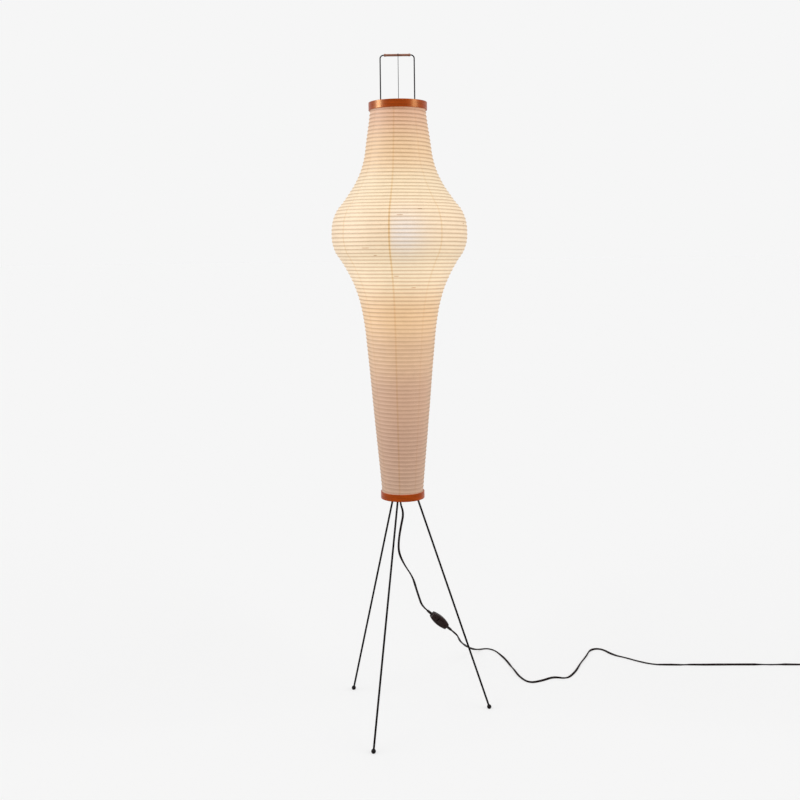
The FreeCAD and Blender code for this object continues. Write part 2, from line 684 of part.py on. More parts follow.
def make_shade():
    """The paper body: gores side by side in straight bands round the axis, a collar in each ring."""
    wall = value("paper_wall")
    gap = value("paper_gap")
    top_radius = value("top_ring_diameter") / 2 - value("ring_lip") - gap
    foot_radius = value("bottom_ring_diameter") / 2 - value("ring_lip") - gap
    top = value("top_ring_foot_height")
    foot = value("bottom_ring_foot_height") + value("bottom_ring_height")
    knots = [Vector(top_radius, 0, top)]
    knots += [Vector(radius, 0, top - depth) for depth, radius in SHADE_STATIONS]
    meridian = Part.BSplineCurve()
    meridian.interpolate(knots + [Vector(foot_radius, 0, foot)])
    bands = meridian.toShape().discretize(Deflection=wall / 2)
    collar = value("rebate_depth") - gap
    outside = [Vector(top_radius, 0, top + collar)] + bands + [Vector(foot_radius, 0, foot - collar)]
    inside = [Vector(point.x - wall, 0, point.z) for point in reversed(outside)]
    section = Part.Face(Part.makePolygon(outside + inside + outside[:1]))
    gore_angle = 360 / value("gore_count")
    gores = []
    for index in range(int(value("gore_count"))):
        edge_on = section.copy()
        edge_on.rotate(Vector(0, 0, 0), UP, value("first_seam_angle") - 90 + index * gore_angle)
        gores.append(edge_on.revolve(Vector(0, 0, 0), UP, gore_angle))
    keep(shaped("paper_gores", Part.makeCompound(gores)), "paper_shade")


# ---------------------------------------------------------------- lampholder and bulb

holder_foot = saddle_top + value("stem_nut_height") + value("joint_gap")
shell_foot = holder_foot + value("holder_cap_height") + value("joint_gap")
core_foot = shell_foot + value("joint_gap")
cap_foot = core_foot + value("holder_core_height") + value("contact_height") + 2 * value("joint_gap")


def raised(body, height):
    """Put a turned body at a height on the lantern's axis."""
    body.Placement.Base = Vector(0, 0, height)
    return body


def make_lampholder():
    """The lampholder: cap on the tube, shell, insulating core, threaded shell and contact."""
    bore = "Sizes.stem_diameter / 2 + Sizes.thread_clearance"
    wall = "Sizes.holder_wall"
    outer = "Sizes.holder_radius"
    cap = turned_body("holder_cap", (
        (bore, "0"), ("Sizes.holder_neck_radius", "0"), (outer, "Sizes.holder_cone_height"),
        (outer, "Sizes.holder_cap_height"), (f"{outer} - {wall}", "Sizes.holder_cap_height"),
        (f"{outer} - {wall}", "Sizes.holder_cone_height"), ("Sizes.holder_neck_radius", wall),
        (bore, wall),
    ))
    keep(raised(cap, holder_foot), "holder_cap")
    tall = "Sizes.holder_shell_height"
    shell = turned_body("holder_shell", (
        (f"{outer} - {wall}", "0"), (outer, "0"), (outer, f"{tall} - Sizes.holder_lip_height"),
        (f"{outer} - {wall} / 2", tall), (f"{outer} - {wall}", tall),
    ))
    keep(raised(shell, shell_foot), "holder_shell")
    inside = "Sizes.holder_radius - Sizes.holder_wall - Sizes.joint_gap"
    core = turned_body("holder_core", (
        ("Sizes.cord_diameter / 2", "0"), (inside, "0"), (inside, "Sizes.holder_core_height"),
        ("Sizes.cord_diameter / 2", "Sizes.holder_core_height"),
    ))
    keep(raised(core, core_foot), "holder_core")
    thread = "Sizes.lamp_cap_radius + Sizes.lamp_thread_gap"
    skin = f"{thread} + Sizes.lamp_shell_wall"
    sleeve = turned_body("holder_thread", (
        (thread, "0"), (skin, "0"), (skin, "Sizes.lamp_cap_height"), (thread, "Sizes.lamp_cap_height"),
    ))
    keep(raised(sleeve, core_foot + value("holder_core_height")), "holder_thread")
    contact = rod("holder_contact_disc", "Sizes.contact_radius", "Sizes.contact_height",
                  along(Vector(0, 0, core_foot + value("holder_core_height")), UP))
    keep(contact, "holder_contact")


def make_bulb():
    """The bulb: glass, screw cap and its tip contact."""
    radius = value("bulb_radius")
    neck = value("bulb_neck_radius")
    glass_foot = cap_foot + value("lamp_cap_height")
    centre = Vector(0, 0, glass_foot + value("bulb_length") - radius)
    shoulder_angle = math.radians(value("bulb_shoulder_angle"))
    shoulder = centre + Vector(radius * math.cos(shoulder_angle), 0, -radius * math.sin(shoulder_angle))
    side = centre + Vector(radius, 0, 0)
    edges = [
        Part.LineSegment(Vector(0, 0, glass_foot), Vector(neck, 0, glass_foot)).toShape(),
        Part.LineSegment(Vector(neck, 0, glass_foot), shoulder).toShape(),
        Part.Arc(shoulder, side, centre + UP * radius).toShape(),
        Part.LineSegment(centre + UP * radius, Vector(0, 0, glass_foot)).toShape(),
    ]
    globe = Part.Face(Part.Wire(edges)).revolve(Vector(0, 0, 0), UP, 360)
    keep(shaped("bulb_globe", globe), "bulb_glass")
    taper = "Sizes.contact_radius"
    cap = turned_body("bulb_cap", (
        ("0", "0"), (taper, "0"), ("Sizes.lamp_cap_radius", "Sizes.lamp_cap_taper"),
        ("Sizes.lamp_cap_radius", "Sizes.lamp_cap_height"), ("0", "Sizes.lamp_cap_height"),
    ))
    keep(raised(cap, cap_foot), "bulb_cap")


# ---------------------------------------------------------------- flex

switch_end = value("switch_length") / 2 + value("switch_relief_length")
hub_foot_height = apex.z + value("hub_top_above_apex") - value("hub_height")


def strain_relief(name, length, root_radius, placement):
    """A tapered rubber sleeve whose thin end meets the flex face to face."""
    tip = "Sizes.cord_diameter / 2 + Sizes.relief_wall"
    sleeve = turned_body(name, (("0", "0"), (root_radius, "0"), (tip, length), ("0", length)))
    sleeve.Placement = placement
    return sleeve


def make_leads():
    """The lead inside the column, the gland under the hub and the two free stretches."""
    gland = strain_relief("hub_gland", "Sizes.hub_gland_length", "Sizes.hub_gland_radius",
                          along(Vector(0, 0, hub_foot_height), -UP))
    keep(gland, "cord_gland")
    lead = rod("inner_lead_core", "Sizes.cord_diameter / 2", "1 mm",
               along(Vector(0, 0, hub_foot_height), UP))
    lead.clearExpression("Height")
    lead.Height = core_foot - hub_foot_height
    keep(lead, "inner_lead")
    radius = value("cord_diameter") / 2
    start = Vector(0, 0, hub_foot_height - value("hub_gland_length"))
    before_switch = SWITCH_CENTRE - SWITCH_AXIS * (switch_end + RUN_BEFORE_SWITCH)
    upper = [start] + [Vector(*point) for point in UPPER_ROUTE]
    upper += [before_switch, SWITCH_CENTRE - SWITCH_AXIS * switch_end]
    flex = tube(arc_route(upper, "cord_upper"), radius, "cord_upper", CORD_SIDES)
    keep(shaped("upper_flex", flex), "cord_upper")
    after_switch = SWITCH_CENTRE + SWITCH_AXIS * (switch_end + RUN_AFTER_SWITCH)
    lower = [SWITCH_CENTRE + SWITCH_AXIS * switch_end, after_switch]
    lower += [Vector(*point) for point in LOWER_ROUTE] + [COIL_START]
    flex = tube(arc_route(lower, "cord_lower"), radius, "cord_lower", CORD_SIDES)
    keep(shaped("lower_flex", flex), "cord_lower")


coil_forward = (COIL_START - Vector(*LOWER_ROUTE[-1])).normalize()
coil_forward.z = 0
coil_forward.normalize()
coil_left = UP.cross(coil_forward)
plug_height = value("coil_axis_height") + value("coil_pitch")


def coil_radius(turn):
    """The coil spirals in over its first half and out again over its second."""
    offset = abs(turn - value("coil_turns") / 2)
    eased = offset if offset > REVERSAL else offset ** 2 / (2 * REVERSAL) + REVERSAL / 2
    return value("coil_outer_radius") - value("coil_pitch") * (value("coil_turns") / 2 - eased)


def coil_level(turn):
    """The cord climbs one layer in the half turn where the spiral reverses."""
    part = min(max((turn - value("coil_turns") / 2) / (2 * REVERSAL) + 0.5, 0), 1)
    return value("coil_axis_height") + value("coil_pitch") * part ** 2 * (3 - 2 * part)


inward_slope = math.atan(value("coil_pitch") / (2 * math.pi * value("coil_outer_radius")))
coil_start_angle = -math.pi / 2 - inward_slope
coil_centre = COIL_START - (coil_forward * math.cos(coil_start_angle)
                            + coil_left * math.sin(coil_start_angle)) * value("coil_outer_radius")
coil_centre.z = 0


def coil_point(turn):
    """The cord's axis after a number of turns."""
    angle = coil_start_angle + 2 * math.pi * turn
    spoke = coil_forward * math.cos(angle) + coil_left * math.sin(angle)
    return coil_centre + spoke * coil_radius(turn) + UP * coil_level(turn)


def coil_tangent(turn):
    """The direction of the cord's axis after a number of turns."""
    step = 0.001
    return (coil_point(turn + step) - coil_point(turn - step)).normalize()


def print_coil_gap(edges):
    """Print the least gap from one turn of the coil to another, measured on points."""
    samples = 12
    apart = 40
    points = [point for edge in edges for point in edge.discretize(Number=samples)]
    least = min((first - second).Length for index, first in enumerate(points)
                for second in points[index + apart:])
    print(f"cord_coil: least gap to itself {least - value('cord_diameter'):.2f} mm")


def make_coil():
    """The put-away end of the flex: two layers of turns in one unbroken tube, and its tie."""
    steps = int(value("coil_turns") * 4)
    turns = [index / 4 for index in range(steps + 1)]
    edges = []
    for begin, finish in zip(turns, turns[1:]):
        edges += biarc(coil_point(begin), coil_tangent(begin), coil_point(finish), coil_tangent(finish))
    print_coil_gap(edges)
    end = coil_point(turns[-1])
    tail = coil_tangent(turns[-1])
    edges.append(Part.LineSegment(end, end + tail * value("coil_tail_length")).toShape())
    coil = tube(edges, value("cord_diameter") / 2, "cord_coil", CORD_SIDES)
    keep(shaped("coiled_flex", coil), "cord_coil")
    thick = value("tie_thickness")
    cord = value("cord_diameter")
    slack = value("joint_gap")
    innermost = coil_radius(value("coil_turns") / 2)
    reach_in = innermost - cord / 2 - slack
    reach_out = value("coil_outer_radius") + cord / 2 + slack
    low = thick
    high = plug_height + cord / 2 + slack
    turned = FreeCAD.Rotation(Vector(1, 0, 0), coil_left)
    base = coil_centre
    outer = Part.makeBox(reach_out - reach_in + 2 * thick, value("tie_width"), high - low + 2 * thick,
                         Vector(reach_in - thick, -value("tie_width") / 2, low - thick))
    inner = Part.makeBox(reach_out - reach_in, value("tie_width"), high - low,
                         Vector(reach_in, -value("tie_width") / 2, low))
    tie = shaped("coil_tie", outer.cut(inner))
    tie.Placement = FreeCAD.Placement(base, turned)
    keep(tie, "cord_tie")
    return end + tail * value("coil_tail_length"), tail


# ---------------------------------------------------------------- in-line switch

facing = Vector(0.203, -0.959, -0.197)
facing = (facing - SWITCH_AXIS * facing.dot(SWITCH_AXIS)).normalize()
switch_place = FreeCAD.Placement(
    SWITCH_CENTRE, FreeCAD.Rotation(SWITCH_AXIS, facing.cross(SWITCH_AXIS), facing, "ZXY"))


def housing_half(name):
    """Half of the housing, parting face down: bowed sides, square ends and a rounded outer rim."""
    end = value("switch_length") / 2
    narrow = value("switch_end_width") / 2
    wide = value("switch_width") / 2
    tall = value("switch_half_height")
    rounding = value("switch_rim_radius")
    left = [Vector(-end, narrow, 0), Vector(0, wide, 0), Vector(end, narrow, 0)]
    right = [Vector(end, -narrow, 0), Vector(0, -wide, 0), Vector(-end, -narrow, 0)]
    sides = [Part.Arc(*left).toShape(), Part.LineSegment(left[2], right[0]).toShape(),
             Part.Arc(*right).toShape(), Part.LineSegment(right[2], left[0]).toShape()]
    blank = Part.Face(Part.Wire(sides)).extrude(UP * tall)
    rim = [edge for edge in blank.Edges if edge.CenterOfMass.z > rounding / 4]
    half = shaped(name, blank.makeFillet(rounding, rim))
    bores = []
    for side in (-1, 1):
        place = Vector(side * value("switch_screw_offset"), 0, 0)
        bores.append(rod(f"{name}_screw_hole_{len(bores)}",
                         "Sizes.switch_screw_diameter / 2 + Sizes.thread_clearance",
                         "Sizes.switch_half_height", along(place, UP)))
    return half, bores


def recess(name, spare, depth):
    """The block that a half of the housing leaves open round the rocker."""
    length = value("rocker_length") + 2 * spare
    width = value("rocker_width") + 2 * spare
    return shaped(name, Part.makeBox(length, width, depth, Vector(-length / 2, -width / 2, 0)))


def make_switch():
    """The in-line switch: two halves, a rocker on its pin, contacts and two screws."""
    slack = value("rocker_clearance")
    tall = value("switch_half_height")
    wall = value("switch_wall")
    half, bores = housing_half("switch_base_blank")
    bores.append(recess("switch_base_cavity", slack + wall, tall - wall))
    base = cut("switch_base_half", half, fuse("switch_base_tools", bores))
    base.Placement = switch_place.multiply(
        FreeCAD.Placement(Vector(0, 0, 0), FreeCAD.Rotation(Vector(1, 0, 0), 180)))
    keep(base, "switch_base")
    half, bores = housing_half("switch_cover_blank")
    bores.append(recess("switch_cover_slot", slack, tall))
    cover = cut("switch_cover_half", half, fuse("switch_cover_tools", bores))
    cover.Placement = switch_place
    keep(cover, "switch_cover")
    make_rocker()
    make_switch_metal()
    for side, label in ((-1, "switch_relief_upper"), (1, "switch_relief_lower")):
        outward = SWITCH_AXIS * side
        seat = SWITCH_CENTRE + outward * (value("switch_length") / 2)
        relief = strain_relief(label, "Sizes.switch_relief_length", "Sizes.switch_relief_radius",
                               along(seat, outward))
        keep(relief, label)


def in_switch(place, direction=UP):
    """The placement of something that stands at a place in the switch's own frame."""
    return switch_place.multiply(along(place, direction))


def make_rocker():
    """The rocker, tilted to its on side, and the pin that it turns on."""
    half = "Sizes.rocker_length / 2"
    inner_half = "Sizes.rocker_foot_length / 2"
    top = "Sizes.switch_half_height + Sizes.rocker_rise"
    foot = "Sizes.switch_half_height / 2"
    body = document.addObject("PartDesign::Body", "rocker_body")
    side_view = sketch_on(body, "XZ_Plane", "rocker_side")
    outline(side_view, (
        (inner_half, foot), (half, "Sizes.switch_half_height"), (half, top),
        ("0", f"{top} - Sizes.rocker_rise / 2"), (f"-{half}", top),
        (f"-{half}", "Sizes.switch_half_height"), (f"-{inner_half}", foot),
    ))
    ring_mark(side_view, ("0", f"{foot} + Sizes.rocker_pin_diameter"),
              "Sizes.rocker_pin_diameter / 2 + Sizes.thread_clearance / 2")
    pad = body.newObject("PartDesign::Pad", "rocker_pad")
    pad.Profile = side_view
    pad.setExpression("Length", "Sizes.rocker_width")
    pad.Midplane = True
    pivot = Vector(0, 0, value("switch_half_height") / 2 + value("rocker_pin_diameter"))
    tilt = FreeCAD.Placement(Vector(0, 0, 0), FreeCAD.Rotation(Vector(0, 1, 0), value("rocker_throw") / 2),
                             pivot)
    body.Placement = switch_place.multiply(tilt)
    keep(body, "switch_rocker")
    reach = value("rocker_width") / 2 + value("rocker_clearance")
    pin = rod("rocker_pin_rod", "Sizes.rocker_pin_diameter / 2",
              "Sizes.rocker_width + 2 * Sizes.rocker_clearance",
              in_switch(pivot - Vector(0, reach, 0), Vector(0, 1, 0)))
    keep(pin, "rocker_pin")
    print(f"rocker pivot {switch_place.multVec(pivot)}, "
          f"axis {switch_place.Rotation.multVec(Vector(0, 1, 0))}")


def make_switch_metal():
    """The two screws that hold the halves together and the two contacts under the rocker."""
    screws = []
    for side in (-1, 1):
        across = side * value("switch_screw_offset")
        start = Vector(across, 0, -value("switch_half_height"))
        screws.append(rod(f"switch_screw_{len(screws)}", "Sizes.switch_screw_diameter / 2",
                          "2 * Sizes.switch_half_height", in_switch(start)))
    keep(group("switch_screw_group", screws), "switch_screws")
    contacts = []
    for side in (-1, 1):
        strip = document.addObject("Part::Box", f"contact_strip_{len(contacts)}")
        for edge, size in (("Length", "length"), ("Width", "width"), ("Height", "thickness")):
            strip.setExpression(edge, f"Sizes.contact_strip_{size}")
        corner = Vector(side * value("contact_strip_length") - value("contact_strip_length") / 2,
                        -value("contact_strip_width") / 2,
                        value("switch_wall") - value("switch_half_height"))
        strip.Placement = in_switch(corner)
        contacts.append(strip)
    keep(group("switch_contact_group", contacts), "switch_contacts")


def make_plug(start, axis):
    """A flat two-pin plug lying beside the coil: strain relief, rounded body and pins."""
    turned = FreeCAD.Rotation(axis, UP.cross(axis), UP, "XZY")
    relief = strain_relief("plug_relief", "Sizes.plug_relief_length", "Sizes.plug_relief_radius",
                           along(start + axis * value("plug_relief_length"), -axis))
    keep(relief, "plug_relief")
    waist = value("plug_waist") / 2
    wide = value("plug_width") / 2
    long = value("plug_length")
    corner = wide - value("plug_corner_width")
    shoulder = long - value("plug_corner_length")
    flank = [(0, waist), (value("plug_waist_length"), wide), (shoulder, wide), (long, corner)]
    points = [Vector(place, across, 0) for place, across in flank]
    points += [Vector(place, -across, 0) for place, across in reversed(flank)]
    blank = Part.Face(Part.makePolygon(points + points[:1])).extrude(UP * 2 * plug_height)
    rims = [edge for edge in blank.Edges if edge.BoundBox.ZLength < plug_height]
    body = shaped("plug_block", blank.makeFillet(value("plug_rounding"), rims))
    foot = start + axis * value("plug_relief_length")
    body.Placement = FreeCAD.Placement(Vector(foot.x, foot.y, 0), turned)
    keep(body, "plug_body")
    pins = []
    sideways = UP.cross(axis)
    for side in (-1, 1):
        seat = foot + axis * value("plug_length") + sideways * (side * value("plug_pin_spacing") / 2)
        pins.append(rod(f"plug_pin_{len(pins)}", "Sizes.plug_pin_diameter / 2", "Sizes.plug_pin_length",
                        along(seat, axis)))
    keep(group("plug_pin_group", pins), "plug_pins")


part_builders = (
    make_legs, make_ball_feet, make_hub, make_column, make_bow, make_grip, make_hanger,
    make_ring_clips, make_rings, make_shade, make_lampholder, make_bulb, make_leads, make_switch,
)
for build in part_builders:
    build()
make_plug(*make_coil())

document.recompute()
failed = [item.Label for item in document.Objects if {"Invalid", "Error"} & set(item.State)]
failed += [item.Label for item in subparts if item.Shape.isNull() or not item.Shape.isValid()]
if failed:
    raise RuntimeError(f"failed objects: {failed}")

os.makedirs("parts", exist_ok=True)
for item in subparts:
    item.Shape.exportStep(f"parts/{item.Label}.step")
    print(f"{item.Label}: {len(item.Shape.Solids)} solid(s), {item.Shape.Volume:.1f} mm3")
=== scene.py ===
"""The looks of a paper lantern floor lamp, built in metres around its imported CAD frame."""

import logging
import math
from dataclasses import dataclass
from enum import Enum
from typing import Any

import bmesh
import bpy
from bpy.types import Material, Mesh, Node, NodeSocket, NodeTree, Object
from mathutils import Matrix, Vector


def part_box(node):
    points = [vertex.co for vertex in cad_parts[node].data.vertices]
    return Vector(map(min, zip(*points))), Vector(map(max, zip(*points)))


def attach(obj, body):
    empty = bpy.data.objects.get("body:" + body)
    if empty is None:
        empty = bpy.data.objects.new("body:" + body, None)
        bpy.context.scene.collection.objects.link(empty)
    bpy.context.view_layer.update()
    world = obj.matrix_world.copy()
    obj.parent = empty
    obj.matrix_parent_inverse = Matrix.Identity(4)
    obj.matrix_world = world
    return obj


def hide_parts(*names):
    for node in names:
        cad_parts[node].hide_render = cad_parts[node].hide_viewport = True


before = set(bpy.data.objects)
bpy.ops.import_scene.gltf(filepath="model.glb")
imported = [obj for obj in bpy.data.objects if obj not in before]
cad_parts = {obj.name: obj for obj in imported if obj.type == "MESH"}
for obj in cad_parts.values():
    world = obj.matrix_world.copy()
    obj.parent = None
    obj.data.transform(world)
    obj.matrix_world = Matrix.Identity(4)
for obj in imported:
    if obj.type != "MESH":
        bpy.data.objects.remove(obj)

LOG = logging.getLogger("lantern")

Tone = tuple[int, int, int]
Spot = tuple[float, float, float]
Outline = list[tuple[float, float]]

FULL_TURN = 2 * math.pi
THIRD_TURN = FULL_TURN / 3
FIRST_LEG = math.radians(-20.5)
SWITCH_CENTRE = Vector((0.103, 0.170, 0.2075))
SWITCH_AXIS = Vector((0.687, 0.283, -0.668)).normalized()
UP = Vector((0, 0, 1))
DOWN = Vector((0, 0, -1))


# ---- node graphs

def linear(tone: Tone) -> tuple[float, float, float, float]:
    """The linear colour of a tone.

    Args:
        tone: Red, green and blue from 0 to 255, as a screen shows them.

    Returns:
        Red, green, blue and a full alpha, for a shader's socket.
    """
    shares = [level / 255 for level in tone]
    red, green, blue = (s / 12.92 if s <= 0.04045 else ((s + 0.055) / 1.055) ** 2.4 for s in shares)
    return red, green, blue, 1.0


def smooth_step(share: float) -> float:
    """Rise smoothly from 0 at a share of 0 to 1 at a share of 1."""
    kept = min(max(share, 0), 1)
    return kept ** 2 * (3 - 2 * kept)


class Graph:
    """Adds nodes to a node tree and joins them."""

    def __init__(self, tree: NodeTree) -> None:
        """Keep the tree that the nodes go into."""
        self.tree = tree

    def add(self, kind: str, inputs: dict[str | int, Any] | None = None, **settings: Any) -> Node:
        """Add one node.

        Args:
            kind: The node's type.
            inputs: For each input, by name or number, the socket that feeds it or its constant.
            settings: The node's own options.

        Returns:
            The new node.
        """
        node = self.tree.nodes.new(kind)
        for name, setting in settings.items():
            setattr(node, name, setting)
        for key, feed in (inputs or {}).items():
            if isinstance(feed, NodeSocket):
                self.tree.links.new(feed, node.inputs[key])
            else:
                node.inputs[key].default_value = feed
        return node

    def math(self, operation: str, first: Any, second: Any = 0.0, third: Any = 0.0) -> NodeSocket:
        """Add a Math node and return its output."""
        return self.add("ShaderNodeMath", {0: first, 1: second, 2: third}, operation=operation).outputs[0]

    def times(self, first: Any, second: Any) -> NodeSocket:
        """Multiply two values."""
        return self.math("MULTIPLY", first, second)

    def line(self, value: Any, slope: Any, offset: Any) -> NodeSocket:
        """Multiply a value by a slope and add an offset."""
        return self.math("MULTIPLY_ADD", value, slope, offset)

    def plus(self, first: Any, second: Any) -> NodeSocket:
        """Add two values."""
        return self.math("ADD", first, second)

    def minus(self, first: Any, second: Any) -> NodeSocket:
        """Take the second value from the first."""
        return self.math("SUBTRACT", first, second)

    def ease(self, value: Any, start: Any, end: Any) -> NodeSocket:
        """Rise smoothly from 0 at start to 1 at end."""
        inputs = {"Value": value, "From Min": start, "From Max": end}
        return self.add("ShaderNodeMapRange", inputs, interpolation_type="SMOOTHSTEP").outputs["Result"]

    def mix(self, share: Any, first: Any, second: Any, blend: str = "MIX") -> NodeSocket:
        """Mix two colours and return the mixed one."""
        node = self.add("ShaderNodeMix", {0: share, 6: first, 7: second}, data_type="RGBA", blend_type=blend)
        return node.outputs[2]

    def noise(self, place: Any, scale: Any, detail: float, distortion: float = 0.0) -> NodeSocket:
        """Add a noise texture and return its level."""
        inputs = {"Vector": place, "Scale": scale, "Detail": detail, "Distortion": distortion}
        return self.add("ShaderNodeTexNoise", inputs).outputs[0]

    def position(self) -> NodeSocket:
        """The place on the object, in its own metres."""
        return self.add("ShaderNodeTexCoord").outputs["Object"]

    def link(self, feed: NodeSocket, taker: NodeSocket) -> None:
        """Join an output to an input."""
        self.tree.links.new(feed, taker)


class ShaderEffects:
    """The node groups that several finishes share, each built once."""

    grain_share = 0.3
    fibre_layers = ((0.5, 130.0), (-0.9, 170.0), (1.9, 150.0))
    fibre_stretch = 9
    fibre_levels = (0.60, 0.72)
    fibre_shade = -0.25
    cloud_scale = 45.0
    figure_round = 1.6
    figure_across = 260.0
    fine_share = 0.35
    figure_levels = (0.36, 0.64)

    def __init__(self) -> None:
        """Build every group."""
        self.around = self._around()
        self.mottle = self._mottle()
        self.fibres = self._fibres()
        self.figure = self._figure()

    @staticmethod
    def _group(name: str, takes: dict[str, str], gives: dict[str, str]) -> tuple[Graph, Any, Any]:
        """Start a node group.

        Args:
            name: The group's name.
            takes: Its inputs, as names with their socket types.
            gives: Its outputs, in the same way.

        Returns:
            The group's graph, its input node and its output node.
        """
        tree = bpy.data.node_groups.new(name, "ShaderNodeTree")
        for label, kind in takes.items():
            tree.interface.new_socket(label, in_out="INPUT", socket_type=kind)
        for label, kind in gives.items():
            tree.interface.new_socket(label, in_out="OUTPUT", socket_type=kind)
        graph = Graph(tree)
        return graph, graph.add("NodeGroupInput"), graph.add("NodeGroupOutput")

    def _around(self) -> NodeTree:
        """Angle from straight ahead, distance from the lantern's axis, and height."""
        graph, start, end = self._group(
            "around_the_axis", {"Place": "NodeSocketVector"},
            {"Angle": "NodeSocketFloat", "Radius": "NodeSocketFloat", "Height": "NodeSocketFloat"})
        parts = graph.add("ShaderNodeSeparateXYZ", {0: start.outputs["Place"]})
        ahead = graph.times(parts.outputs["Y"], -1.0)
        angle = graph.math("ARCTAN2", parts.outputs["X"], ahead)
        squares = graph.line(parts.outputs["X"], parts.outputs["X"],
                             graph.times(parts.outputs["Y"], parts.outputs["Y"]))
        graph.link(angle, end.inputs["Angle"])
        graph.link(graph.math("SQRT", squares), end.inputs["Radius"])
        graph.link(parts.outputs["Z"], end.inputs["Height"])
        return graph.tree

    def _mottle(self) -> NodeTree:
        """Soft patches and fine grain of any moulded, painted or drawn surface."""
        graph, start, end = self._group(
            "mottle", {"Place": "NodeSocketVector", "Patch": "NodeSocketFloat", "Grain": "NodeSocketFloat"},
            {"Tone": "NodeSocketFloat", "Height": "NodeSocketFloat"})
        patch = graph.noise(start.outputs["Place"], start.outputs["Patch"], detail=3.0)
        grain = graph.noise(start.outputs["Place"], start.outputs["Grain"], detail=2.0)
        patch_share = graph.times(patch, 1 - self.grain_share)
        graph.link(graph.line(grain, self.grain_share, patch_share), end.inputs["Tone"])
        graph.link(grain, end.inputs["Height"])
        return graph.tree

    def _fibres(self) -> NodeTree:
        """The long crossed fibres and the cloudiness of handmade paper."""
        graph, start, end = self._group(
            "paper_fibres", {"Angle": "NodeSocketFloat", "Radius": "NodeSocketFloat",
                             "Height": "NodeSocketFloat"},
            {"Tone": "NodeSocketFloat", "Relief": "NodeSocketFloat"})
        run = graph.times(start.outputs["Angle"], start.outputs["Radius"])
        place = graph.add("ShaderNodeCombineXYZ", {"X": run, "Y": start.outputs["Height"]}).outputs[0]
        total: Any = 0.0
        for turn, scale in self.fibre_layers:
            lie = graph.add("ShaderNodeMapping", {"Vector": place, "Rotation": (0, 0, turn),
                                                  "Scale": (scale, self.fibre_stretch * scale, 1)})
            level = graph.noise(lie.outputs[0], 1.0, detail=2.0, distortion=0.6)
            total = graph.plus(graph.ease(level, *self.fibre_levels), total)
        cloud = graph.noise(place, self.cloud_scale, detail=4.0)
        graph.link(graph.line(total, self.fibre_shade, cloud), end.inputs["Tone"])
        graph.link(total, end.inputs["Relief"])
        return graph.tree

    def _figure(self) -> NodeTree:
        """Wood grain that runs round a bent hoop."""
        graph, start, end = self._group(
            "hoop_figure", {"Angle": "NodeSocketFloat", "Radius": "NodeSocketFloat",
                            "Height": "NodeSocketFloat"}, {"Tone": "NodeSocketFloat"})
        place = graph.add("ShaderNodeCombineXYZ", {
            "X": graph.times(start.outputs["Angle"], self.figure_round),
            "Y": graph.times(start.outputs["Radius"], self.figure_across),
            "Z": graph.times(start.outputs["Height"], self.figure_across)}).outputs[0]
        broad = graph.noise(place, 1.0, detail=5.0, distortion=0.4)
        fine = graph.noise(place, 6.0, detail=2.0)
        broad_share = graph.times(broad, 1 - self.fine_share)
        tone = graph.line(fine, self.fine_share, broad_share)
        graph.link(graph.ease(tone, *self.figure_levels), end.inputs["Tone"])
        return graph.tree


EFFECTS = ShaderEffects()


# ---- finishes

@dataclass(frozen=True)
class Finish:
    """A painted, moulded or drawn surface, with its soft patches and its grain."""

    name: str
    tone: Tone
    roughness: float
    metallic: float = 0.0
    patch: float = 60.0
    grain: float = 900.0
    variety: float = 0.18
    relief: float = 0.00006
    specular: float = 0.5
    tone_levels: tuple[float, float] = (0.3, 0.7)
    gloss_variety: float = 0.2

    def material(self) -> Material:
        """Build the material, or give back the one already built.

        Returns:
            The finish's material.
        """
        known = bpy.data.materials.get(self.name)
        if known is not None:
            return known
        made = bpy.data.materials.new(self.name)
        made.use_nodes = True
        graph = Graph(made.node_tree)
        shader = made.node_tree.nodes["Principled BSDF"]
        shader.inputs["Metallic"].default_value = self.metallic
        shader.inputs["Specular IOR Level"].default_value = self.specular
        self.paint(graph, shader)
        return made

    def paint(self, graph: Graph, shader: Node) -> None:
        """Feed the shader's colour, roughness and bump.

        Args:
            graph: The material's graph.
            shader: Its Principled shader.
        """
        inputs = {"Place": graph.position(), "Patch": self.patch, "Grain": self.grain}
        mottle = graph.add("ShaderNodeGroup", inputs, node_tree=EFFECTS.mottle)
        base = linear(self.tone)
        dark = tuple(level * (1 - self.variety) for level in base[:3]) + (1.0,)
        light = tuple(min(level * (1 + self.variety), 1) for level in base[:3]) + (1.0,)
        colour = graph.mix(graph.ease(mottle.outputs["Tone"], *self.tone_levels), dark, light)
        smoothest = self.roughness - self.gloss_variety / 2
        rough = graph.line(mottle.outputs["Tone"], self.gloss_variety, smoothest)
        self.connect(graph, shader, colour, rough, mottle.outputs["Height"])

    def connect(self, graph: Graph, shader: Node, colour: Any, rough: Any, height: Any) -> None:
        """Join the finished colour, roughness and height to the shader."""
        bump = graph.add("ShaderNodeBump", {"Strength": 1.0, "Distance": self.relief, "Height": height})
        graph.link(colour, shader.inputs["Base Color"])
        graph.link(rough, shader.inputs["Roughness"])
        graph.link(bump.outputs[0], shader.inputs["Normal"])


